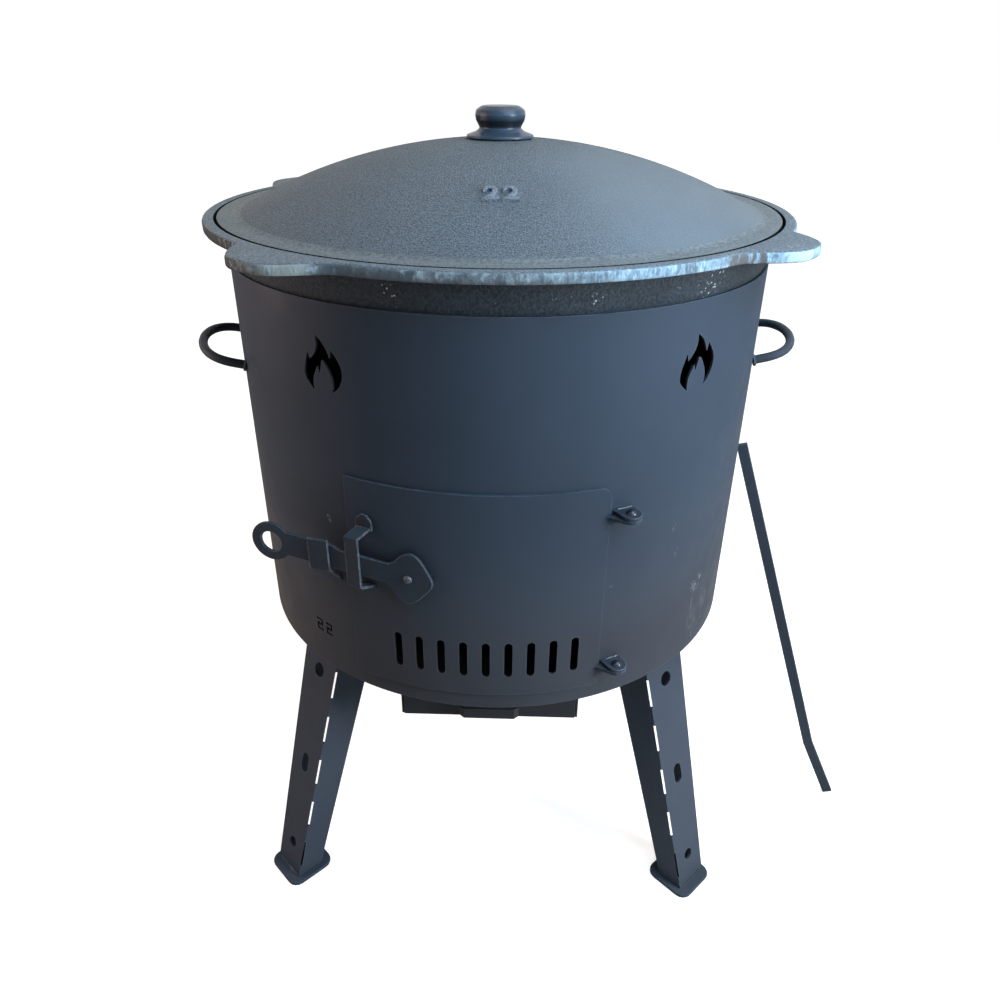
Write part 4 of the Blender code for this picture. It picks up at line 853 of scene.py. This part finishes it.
def make_hinges():
    """Ears that reach from the shell and, under them, from the door to a domed pin."""
    for name in ("upper", "lower"):
        for owner, left_az, right_az, face in EAR_OWNERS:
            node = f"{owner}_ear_{name}"
            low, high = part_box(node)
            roots = []
            for azimuth in (right_az, left_az):
                turn = radians(azimuth - HINGE_AZ)
                roots.append((face * sin(turn), HINGE_RADIUS - face * cos(turn) + 0.001))
            ends = []
            for (x, y), side in zip(roots, (1, -1)):
                lean = degrees(atan2(y, x)) - side * degrees(acos(EAR_NOSE / hypot(x, y)))
                ends.append(lean)
            nose = arc((0, 0), EAR_NOSE, ends[0], ends[1] - 360, 36)
            plate = slab(nose + roots[::-1], FLAT, 0, high.z - low.z)
            hole = slab(circle(EAR_HOLE, 24), FLAT, -OVERRUN, high.z - low.z + OVERRUN)
            place = at_azimuth(HINGE_AZ, HINGE_RADIUS, low.z)
            shape = cut_round(joined(plate, hole), place, face + TOUCH)
            piece(f"{owner}_hinge_ear_{name}", shape, [SHEET_PAINT], node, edge=0.0006,
                  harden=True)
        node = f"hinge_pin_{name}"
        seat = top_of(f"shell_ear_{name}") + TOUCH
        dome = top_of(node) - seat - 0.0003
        pin = domed_pin(PIN_HEAD, dome, PIN_SHANK, seat - bottom_of(node))
        piece(f"domed_{node}", moved(pin, at_azimuth(HINGE_AZ, HINGE_RADIUS, seat)),
              [PIN_PAINT], node, smooth=50)
        low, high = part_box(f"shell_ear_{name}")
        for height in (low.z, high.z):
            line = [at_azimuth(azimuth, SHELL_RADIUS + 0.0004, height).translation
                    for azimuth in EAR_WELD_AZ]
            weld(f"ear_weld_{name}_{'top' if height > low.z else 'under'}",
                 bead(line, 0.0010), "stove", f"shell_ear_{name}")


LATCH_REACH, LATCH_BAR, LATCH_RING, LATCH_HOLE = 0.1226, 0.019, 0.036, 0.0095
LATCH_HEAD = (0.0375, 0.0485, 0.0215)   # length, height, where its tip is
GUIDE_AZ = -24.2
LATCH_HEAD_SHARES = [(0.00, 0.00), (-0.04, 0.10), (-0.17, 0.25), (-0.37, 0.44), (-0.58, 0.50),
                     (-0.78, 0.42), (-0.91, 0.28)]


def lever_outline():
    """Pivot at 0, ring to the left, spade head to the right."""
    ring, half_bar = LATCH_RING / 2, LATCH_BAR / 2
    broad = half_bar + 0.0030
    line = arc((-LATCH_REACH, 0), ring, degrees(asin(broad / ring)),
               360 - degrees(asin(half_bar / ring)), 48)
    length, height, tip = LATCH_HEAD
    head = [(tip + x * length, z * height) for x, z in flowing(LATCH_HEAD_SHARES)]
    neck = tip - length
    lower = [(x, -z) for x, z in reversed(head)]
    step = flowing([(-0.060, half_bar), (-0.063, half_bar + 0.0007),
                    (-0.066, half_bar + 0.0021), (-0.070, broad)])
    return (line + [(neck - 0.002, -half_bar)] + lower + head[1:]
            + [(neck - 0.002, half_bar)] + step)


def make_latch():
    """The flat lever with its rivet and washer, and the strips that guide and hold it."""
    pivot = at_azimuth(LATCH_AZ, LATCH_OUTSIDE, LATCH_HEIGHT)
    tilt = Matrix.Rotation(radians(LATCH_TILT), 4, "Y")
    plate = slab(lever_outline(), UPRIGHT, 0, LATCH_SHEET)
    hole = slab(circle(LATCH_HOLE, 40, (-LATCH_REACH, 0)), UPRIGHT, -OVERRUN,
                LATCH_SHEET + OVERRUN)
    lever = moved(joined(plate, hole), pivot @ tilt)
    piece("latch_lever_bar", lever, [SHEET_PAINT], "latch_lever", edge=0.0006, harden=True)
    rivet = domed_pin(0.0038, 0.0026, 0.003, 0.0098)
    facing = Matrix.Rotation(radians(90), 4, "X") @ Matrix.Translation((0, 0, TOUCH))
    tail = spun([(0, 0), (0.00475, 0), (0.00475, -0.0012), (0.0039, -0.002), (0, -0.002)], 32)
    tail = moved(tail, Matrix.Translation((0, 0, -0.0080)))
    piece("domed_latch_rivet", moved(gather(rivet, tail), pivot @ facing), [RIVET_PAINT],
          "latch_rivet", smooth=50)
    dressed("latch_washer", ZINC, 0.0003)
    make_guide()
    make_hook(pivot)


def make_guide():
    """A strip bent to a bridge on the door, with a rounded tab up its face."""
    width, sheet, depth, tab_width, tab_height = 0.0125, STRIP_SHEET, 0.021, 0.0150, 0.0125
    top, low, root = 0.0388, 0.0098, 0.0185
    back = depth - TOUCH
    path = [(back, -root), (0.0035, -low - 0.0005), (0, -low + 0.003), (0, top),
            (back - sheet, top), (back - sheet, top + 0.004)]
    outline = strip_outline(path, -sheet, 0.0009)
    strip = slab(outline, SIDEWAYS, -width / 2, width / 2)
    half = tab_width / 2
    tab = filleted([(-half, top - sheet, 0), (half, top - sheet, 0),
                    (half, top + tab_height * 0.55, 0.005), (0, top + tab_height * 1.06, 0.004),
                    (-half, top + tab_height * 0.55, 0.005)], 5)
    plate = slab(tab, UPRIGHT, back - sheet, back)
    place = at_azimuth(GUIDE_AZ, DOOR_OUTSIDE + depth, LATCH_HEIGHT)
    guide = joined(strip, plate, "UNION")
    piece("bent_latch_guide", moved(guide, place), [SHEET_PAINT], "latch_guide", edge=0.0004,
          harden=True)
    spots = [place @ Vector((x, back - 0.0004, -root + 0.0008))
             for x in (-width / 2, 0, width / 2)]
    weld("latch_guide_weld", bead(spots, 0.0012), "door", "latch_guide")


def make_hook(pivot):
    """A strip that rises from the shell under the lever and turns up in front of it."""
    near, far, gap = 0.068, 0.0858, 0.0014
    top, root = 0.0253, 0.0300
    tilt = radians(LATCH_TILT)
    seat = near * tan(tilt) - LATCH_BAR / 2 / cos(tilt) - TOUCH
    reach = sqrt(SHELL_RADIUS ** 2 - far ** 2)
    path = [(-gap, top), (-gap, seat), (LATCH_OUTSIDE - reach + 0.001, -root - 0.0005)]
    outline = strip_outline(path, -STRIP_SHEET, 0.0010)
    hook = slab(outline, SIDEWAYS, -far, -near)
    piece("bent_latch_hook", cut_round(hook, pivot, SHELL_RADIUS + TOUCH), [SHEET_PAINT],
          "latch_hook", edge=0.0004, harden=True)
    bottom = [pivot @ Vector((x, LATCH_OUTSIDE - reach - 0.0006, -root + 0.0002))
              for x in (-far + 0.002, -near - 0.001)]
    weld("latch_hook_weld", bead(bottom, 0.0012), "stove", "latch_hook")


# Handles

def make_handles():
    """Bent rod loops with a weld round each end."""
    half_span, depth, rise, rod = 0.052, 0.0357, 0.009, 0.004
    aside, drop, squareness, steps = 81.8, 0.085, 0.72, 48
    inward = SHELL_RADIUS - sqrt(SHELL_RADIUS ** 2 - half_span ** 2)
    path = [Vector((half_span, inward + 0.0005, 0))]
    for step in range(1, steps):
        turn = pi * step / steps
        path.append(Vector((half_span * cos(turn), -depth * sin(turn) ** squareness, 0)))
    path.append(Vector((-half_span, inward + 0.0005, 0)))
    lift = Matrix.Rotation(atan2(rise, depth), 4, "X").inverted()
    for name, side in (("left", -1), ("right", 1)):
        place = at_azimuth(UPPER_TURN_AZ + side * aside, SHELL_RADIUS, SHELL_TOP - drop) @ lift
        spots = [place @ spot for spot in path]
        piece(f"bent_rod_handle_{name}", bar_along(spots, rod, level=5), [SHEET_PAINT],
              f"handle_{name}", smooth=60)
        beads = []
        for end, inner in ((spots[0], spots[1]), (spots[-1], spots[-2])):
            turned = (inner - end).to_track_quat("Z", "Y").to_matrix().to_4x4()
            ring = [Matrix.Translation(end) @ turned @ Vector((x, y, 0.0012))
                    for x, y in circle(rod + 0.0003, 14)]
            beads.append(bead(ring, 0.0015, closed=True))
        weld(f"handle_welds_{name}", gather(*beads), "stove", f"handle_{name}")


# Cauldron and lid

BOWL_RADIUS, BOWL_WALL, BOWL_FLAT = 0.2534, 0.006, 0.030
BOWL_GAP = 0.00045      # between the bowl and the shell's upper edge, that it hangs in
BOWL_CENTRE = SHELL_TOP + sqrt((BOWL_RADIUS + BOWL_GAP) ** 2
                               - (SHELL_RADIUS - SHELL_SHEET) ** 2)
RIM_THICKNESS = 0.0085
RECESS_RADIUS, RECESS_DEPTH, MOUTH_RADIUS = 0.2503, 0.006, 0.2415
EAR_REACH, EAR_TURN, EAR_AZ = 0.030, 9.9, 45.0
EAR_FLAT, EAR_BLUNT, EAR_GENTLE = 1.6, 9.3, 11.5   # azimuths of its tip and its two sides
BOWL_SIDE, RIM_SIDE, EDGE_SIDE, INNER_SIDE, RECESS_SIDE = range(5)   # the casting's finishes
LID_RADIUS, LID_THICKNESS, LID_BAND = 0.2480, 0.005, 0.0160
LID_UNDER = RIM_TOP - RECESS_DEPTH + TOUCH
DOME_RADIUS, DOME_RISE = LID_RADIUS - LID_BAND, 0.0575
DOME_BALL = (DOME_RADIUS ** 2 + DOME_RISE ** 2) / (2 * DOME_RISE)


def ear_share(azimuth):
    """How far an ear stands out at an azimuth, from 0 on the plain rim to 1 at its tip."""
    turned = (azimuth - EAR_TURN + 180) % 360 - 180
    offset = abs(abs(turned) - 90) - (90 - EAR_AZ)
    share = max(abs(offset) - EAR_FLAT, 0) / (EAR_GENTLE if offset > 0 else EAR_BLUNT)
    if share >= 1:
        return 0
    return (1 + cos(pi * share)) / 2 if offset > 0 else cos(pi * share / 2)


def bowl_arc(radius, start, stop, steps):
    angles = [degrees(acos(min(reach / radius, 1))) for reach in (start, stop)]
    return arc((0, BOWL_CENTRE), radius, -angles[0], -angles[1], steps)


def make_cauldron():
    """The bowl and its rim in one casting, with a recess for the lid and four ears."""
    under, recess = RIM_TOP - RIM_THICKNESS, RIM_TOP - RECESS_DEPTH
    outer_reach = sqrt(BOWL_RADIUS ** 2 - (BOWL_CENTRE - under) ** 2)
    inner = BOWL_RADIUS - BOWL_WALL
    mouth = min(MOUTH_RADIUS, sqrt(inner ** 2 - (BOWL_CENTRE - recess) ** 2))
    outside = bowl_arc(BOWL_RADIUS, BOWL_FLAT, outer_reach, 40)
    rim = filleted([(outer_reach - 0.006, under, 0), (RIM_RADIUS, under, 0.0016),
                    (RIM_RADIUS, RIM_TOP, 0.0026), (RECESS_RADIUS, RIM_TOP, 0.0005),
                    (RECESS_RADIUS, recess, 0), (mouth, recess, 0.0008),
                    (mouth - 0.001, recess - 0.006, 0)], 4)[1:-1]
    inside = bowl_arc(inner, BOWL_FLAT, mouth, 36)[::-1]
    profile = [(0, outside[0][1]), *outside, *rim, *inside, (0, inside[-1][1])]
    shape = spun(profile, 288)
    shape.normal_update()
    middle = (RIM_RADIUS + RECESS_RADIUS) / 2
    for vert in shape.verts:
        reach = hypot(vert.co.x, vert.co.y)
        if reach <= middle or vert.co.z < under - 0.0005:
            continue
        azimuth = degrees(atan2(vert.co.x, -vert.co.y))
        share = ear_share(azimuth)
        chip = 0.0012 * share + 0.0007
        spot = Vector((vert.co.x, vert.co.y, 0))
        rough = (noise.noise(spot * 90) + noise.noise(spot * 260) * 0.5 + 1.5) / 3 * chip
        scale = (reach + EAR_REACH * share - rough) / reach
        vert.co.x *= scale
        vert.co.y *= scale
    for face, spot, reach, _ in faces_with_places(shape):
        flat = abs(face.normal.z)
        if reach > RECESS_RADIUS + 0.001 and spot.z > under - 0.0005:
            face.material_index = EDGE_SIDE
            if flat > 0.75 and spot.z > RIM_TOP - 0.002:
                face.material_index = RIM_SIDE
            elif flat > 0.75 and spot.z < recess:
                face.material_index = BOWL_SIDE
        elif reach > mouth - 0.001 and spot.z > recess - 0.001:
            # Recess faces take the painted shade.
            face.material_index = RECESS_SIDE if spot.z < RIM_TOP - 0.0008 else RIM_SIDE
        elif Vector((spot.x, spot.y, spot.z - BOWL_CENTRE)).length < inner + BOWL_WALL / 2:
            face.material_index = INNER_SIDE
    piece("cast_cauldron", to_axis(shape),
          [BOWL_IRON, RIM_IRON, RIM_EDGE, BOWL_INSIDE, GAP_PAINTED_SHADE], "cauldron", smooth=50)


def dome_height(reach):
    return sqrt(DOME_BALL ** 2 - reach ** 2) - (DOME_BALL - DOME_RISE)


LID_NUMERAL_REACH, LID_NUMERAL_AZ, LID_NUMERAL_SINK = 0.1572, 1.8, 0.001


def lid_numerals():
    """The plain numerals 22 raised on the dome, with soft cast edges."""
    words = bpy.data.curves.new("numerals", "FONT")
    words.body = "22"
    words.size = 0.0280
    words.align_x = "CENTER"
    words.align_y = "CENTER"
    words.space_character = 1.16
    words.offset = 0.0003
    words.extrude = 0.0028
    words.bevel_depth = 0.0004
    words.bevel_resolution = 2
    words.resolution_u = 5
    shape = put_right(mesh_of(placed("numerals", words)))
    bpy.data.curves.remove(words)
    lean = asin(LID_NUMERAL_REACH / DOME_BALL)
    height = LID_UNDER + LID_THICKNESS + dome_height(LID_NUMERAL_REACH)
    place = at_azimuth(LID_NUMERAL_AZ, LID_NUMERAL_REACH, height)
    turn = Matrix.Rotation(lean, 4, "X") @ Matrix.Diagonal((0.90, 1, 1, 1))
    return moved(shape, place @ turn @ Matrix.Translation((0, 0, -LID_NUMERAL_SINK)))


def make_lid():
    """The cast lid: a smooth band, a soft hollow, a grainy dome and raised numerals."""
    band = LID_UNDER + LID_THICKNESS
    foot, steps = DOME_RADIUS, 60
    over = [(foot * step / steps, band + dome_height(foot * step / steps))
            for step in range(steps, -1, -1)]
    flush = RIM_TOP - 0.0001
    corner = filleted([(LID_RADIUS, flush, 0), (foot, flush, 0.024), (*over[4], 0)], 10,
                      closed=False)
    outer = filleted([(LID_RADIUS - 0.006, LID_UNDER, 0), (LID_RADIUS, LID_UNDER, 0.0012),
                      (LID_RADIUS, flush, 0.0007), (foot + 0.010, flush, 0)], 4, closed=False)
    under = [(reach, height - LID_THICKNESS) for reach, height in reversed(over)]
    profile = outer[1:-1] + corner[1:-1] + over[4:] + under
    shape = spun(profile, 240)
    for face, spot, reach, _ in faces_with_places(shape):
        if reach > foot - 0.004 or spot.z < band + dome_height(min(reach, foot)) - 0.003:
            face.material_index = 1
        # The lid's edge and the underside of its band take the painted shade.
        if reach > LID_RADIUS - 0.0004 or (spot.z < band - 0.001 and reach > foot):
            face.material_index = 2
    piece("cast_lid", to_axis(shape), [LID_IRON, LID_BAND_IRON, GAP_PAINTED_SHADE], "lid", smooth=40)
    piece("raised_lid_numerals", lid_numerals(), [NUMERAL_IRON], None, "lid_body", "lid")


def make_knob():
    """The turned knob: flange, waist and cap, with the screw and nut that hold it."""
    base, top = KNOB_LOW, KNOB_TOP
    flange, waist, cap = 0.0295, 0.0184, 0.0220
    profile = filleted([
        (0, base, 0), (flange, base, 0.0005), (flange, base + 0.0020, 0.0009),
        (waist + 0.0030, base + 0.0048, 0.0040), (waist, base + 0.0072, 0.0014),
        (waist, base + 0.0086, 0.0012), (cap - 0.0008, base + 0.0136, 0.0030),
        (cap, base + 0.0182, 0.0040), (cap - 0.0008, top - 0.0036, 0.0034),
        (cap - 0.0060, top - 0.0004, 0.0050), (0, top, 0)], 8)
    piece("turned_lid_knob", to_axis(spun(profile, 96)), [KNOB_PAINT], "lid_knob", smooth=40)
    dressed("knob_screw", ZINC, 0.0004)
    dressed("knob_nut", ZINC, 0.0004)


# Legs, drawer and loose iron

def make_legs():
    """Folded legs, with painted shade on their inner faces, and welded to their foot plates."""
    for end in ("front", "back"):
        for side in ("left", "right"):
            name = f"{end}_{side}"
            leg = dressed(f"leg_{name}", LEG_PAINT, 0.0007)
            leg.data.materials.append(LEG_INSIDE_PAINTED_SHADE)
            middle = middle_of(f"leg_{name}")
            inward = (AXIS - Vector((middle.x, middle.y, 0))).normalized()
            # Faces that look towards the axis get the painted shade.
            for face in leg.data.polygons:
                if face.normal.dot(inward) > 0.35:
                    face.material_index = 1
            dressed(f"foot_plate_{name}", LEG_PAINT, 0.0008)
            corners = [vert.co.copy() for vert in leg.data.vertices
                       if vert.co.z < bottom_of(f"leg_{name}") + 0.001]
            across = Vector((-inward.y, inward.x, 0))
            bend = min(corners, key=lambda spot: spot.dot(inward))
            face_end = max(corners, key=lambda spot: abs((spot - bend).dot(across))
                           - (spot - bend).dot(inward))
            wing_end = max(corners, key=lambda spot: (spot - face_end).length)
            for label, far in (("one", face_end), ("two", wing_end)):
                line = [bend.lerp(far, share) for share in (0.10, 0.5, 0.92)]
                weld(f"foot_weld_{name}_{label}", bead(line, 0.0016), "stove",
                     f"foot_plate_{name}")


def make_small_iron():
    """The drawer with its pull and rails, the poker, the grate and the floor plate."""
    for node in ("ash_drawer", "drawer_pull", "drawer_rail_left", "drawer_rail_right"):
        dressed(node, DRAWER_PAINT, 0.0004)
    dressed("poker", SHEET_PAINT, 0.0006)
    dressed("fire_grate", GRATE_IRON, 0.0008)
    dressed("floor_plate", SOOT, 0.0005)


# Studio

WORLD_LEVEL, WORLD_TINT = 0.086, (1.0, 0.92, 0.76)
FLOOR_RADIUS = 9
LAMPS = (   # name, place, width, watts, colour
    ("key", (0.407, -0.473, 1.163), 0.65, 10.1, (0.40, 0.68, 1.0)),
    ("side", (1.194, -0.728, 0.783), 0.50, 24.4, (0.94, 0.935, 1.0)),
    ("fill", (-1.05, -0.12, 0.66), 0.65, 6.2, (1.0, 0.72, 0.66)),
    ("top", (0.66, 0.195, 2.487), 1.2, 18.0, (1.0, 0.80, 0.45)))
LAMPS_AIM = Vector((AXIS.x, AXIS.y, 0.42))


def make_world():
    """White for the camera, in reflections and through gaps; a dim warm light elsewhere."""
    world = bpy.data.worlds.new("studio")
    bpy.context.scene.world = world
    world.use_nodes = True
    tree = world.node_tree
    rays = new_node(tree, "LightPath").outputs
    seen = rays["Is Camera Ray"]
    for name in ("Is Glossy Ray", "Is Transmission Ray"):
        either = new_node(tree, "Math", [(0, seen), (1, rays[name])], operation="MAXIMUM")
        seen = either.outputs["Value"]
    level = new_node(tree, "MapRange", [("Value", seen), ("To Min", WORLD_LEVEL)])
    tint = new_node(tree, "Mix", [(0, seen), (6, WORLD_TINT), (7, (1, 1, 1))],
                    data_type="RGBA")
    background = tree.nodes["Background"].inputs
    put(background["Strength"], level.outputs["Result"])
    put(background["Color"], tint.outputs[2])


def make_floor():
    """A pale floor that the camera sees as white, with soft shadows near the stove."""
    shape = bmesh.new()
    bmesh.ops.create_circle(shape, cap_ends=True, radius=FLOOR_RADIUS, segments=96)
    mesh = bpy.data.meshes.new("floor")
    shape.to_mesh(mesh)
    shape.free()
    floor = placed("floor", mesh)
    pale = Finish("pale_floor", specular=0.1)
    grain = pale.span(pale.cloud(3, 3), 0.3, 0.7, 0.60, 0.62)
    colour = pale.made("CombineColor", "Color", *((name, grain) for name in
                                                  ("Red", "Green", "Blue")))
    mesh.materials.append(pale.done(colour, 0.9))
    near = pale.span(pale.away_from((0, 0, 0)), 0.5, 1.5, 0.80, 1.0)
    glow = pale.product(pale.made("LightPath", "Is Camera Ray"), near)
    put(pale.shader["Emission Color"], (1.0, 1.0, 1.0))
    put(pale.shader["Emission Strength"], glow)


def make_lamps():
    """A blue key in front, a bright side lamp on the right, warm ones left and above."""
    for name, spot, size, power, colour in LAMPS:
        light = bpy.data.lights.new(name, "AREA")
        light.size = size
        light.energy = power
        light.color = colour
        lamp = placed(name, light)
        lamp.location = spot
        aim = LAMPS_AIM - Vector(spot)
        lamp.rotation_euler = aim.to_track_quat("-Z", "Y").to_euler()


CAMERA_LENS, CAMERA_SHIFT = 29.28, 0.0029
CAMERA_BACK, CAMERA_OVER_RIM, CAMERA_AZ = 0.7813, 0.1226, 1.5
CAMERA_DOWN, CAMERA_ROLL = 0.5034, 0.0084   # radians


def make_camera():
    camera = bpy.data.cameras.new("camera")
    camera.sensor_width = 36
    camera.lens = CAMERA_LENS
    camera.shift_x = CAMERA_SHIFT
    viewer = placed("camera", camera)
    viewer.matrix_world = (
        at_azimuth(CAMERA_AZ, CAMERA_BACK, RIM_TOP + CAMERA_OVER_RIM)
        @ Matrix.Rotation(pi / 2 - CAMERA_DOWN, 4, "X") @ Matrix.Rotation(CAMERA_ROLL, 4, "Z"))
    bpy.context.scene.camera = viewer
    bpy.context.scene.view_settings.view_transform = "Standard"


make_shell()
make_door()
make_hinges()
make_latch()
make_handles()
make_cauldron()
make_lid()
make_knob()
make_legs()
make_small_iron()
make_world()
make_floor()
make_lamps()
make_camera()
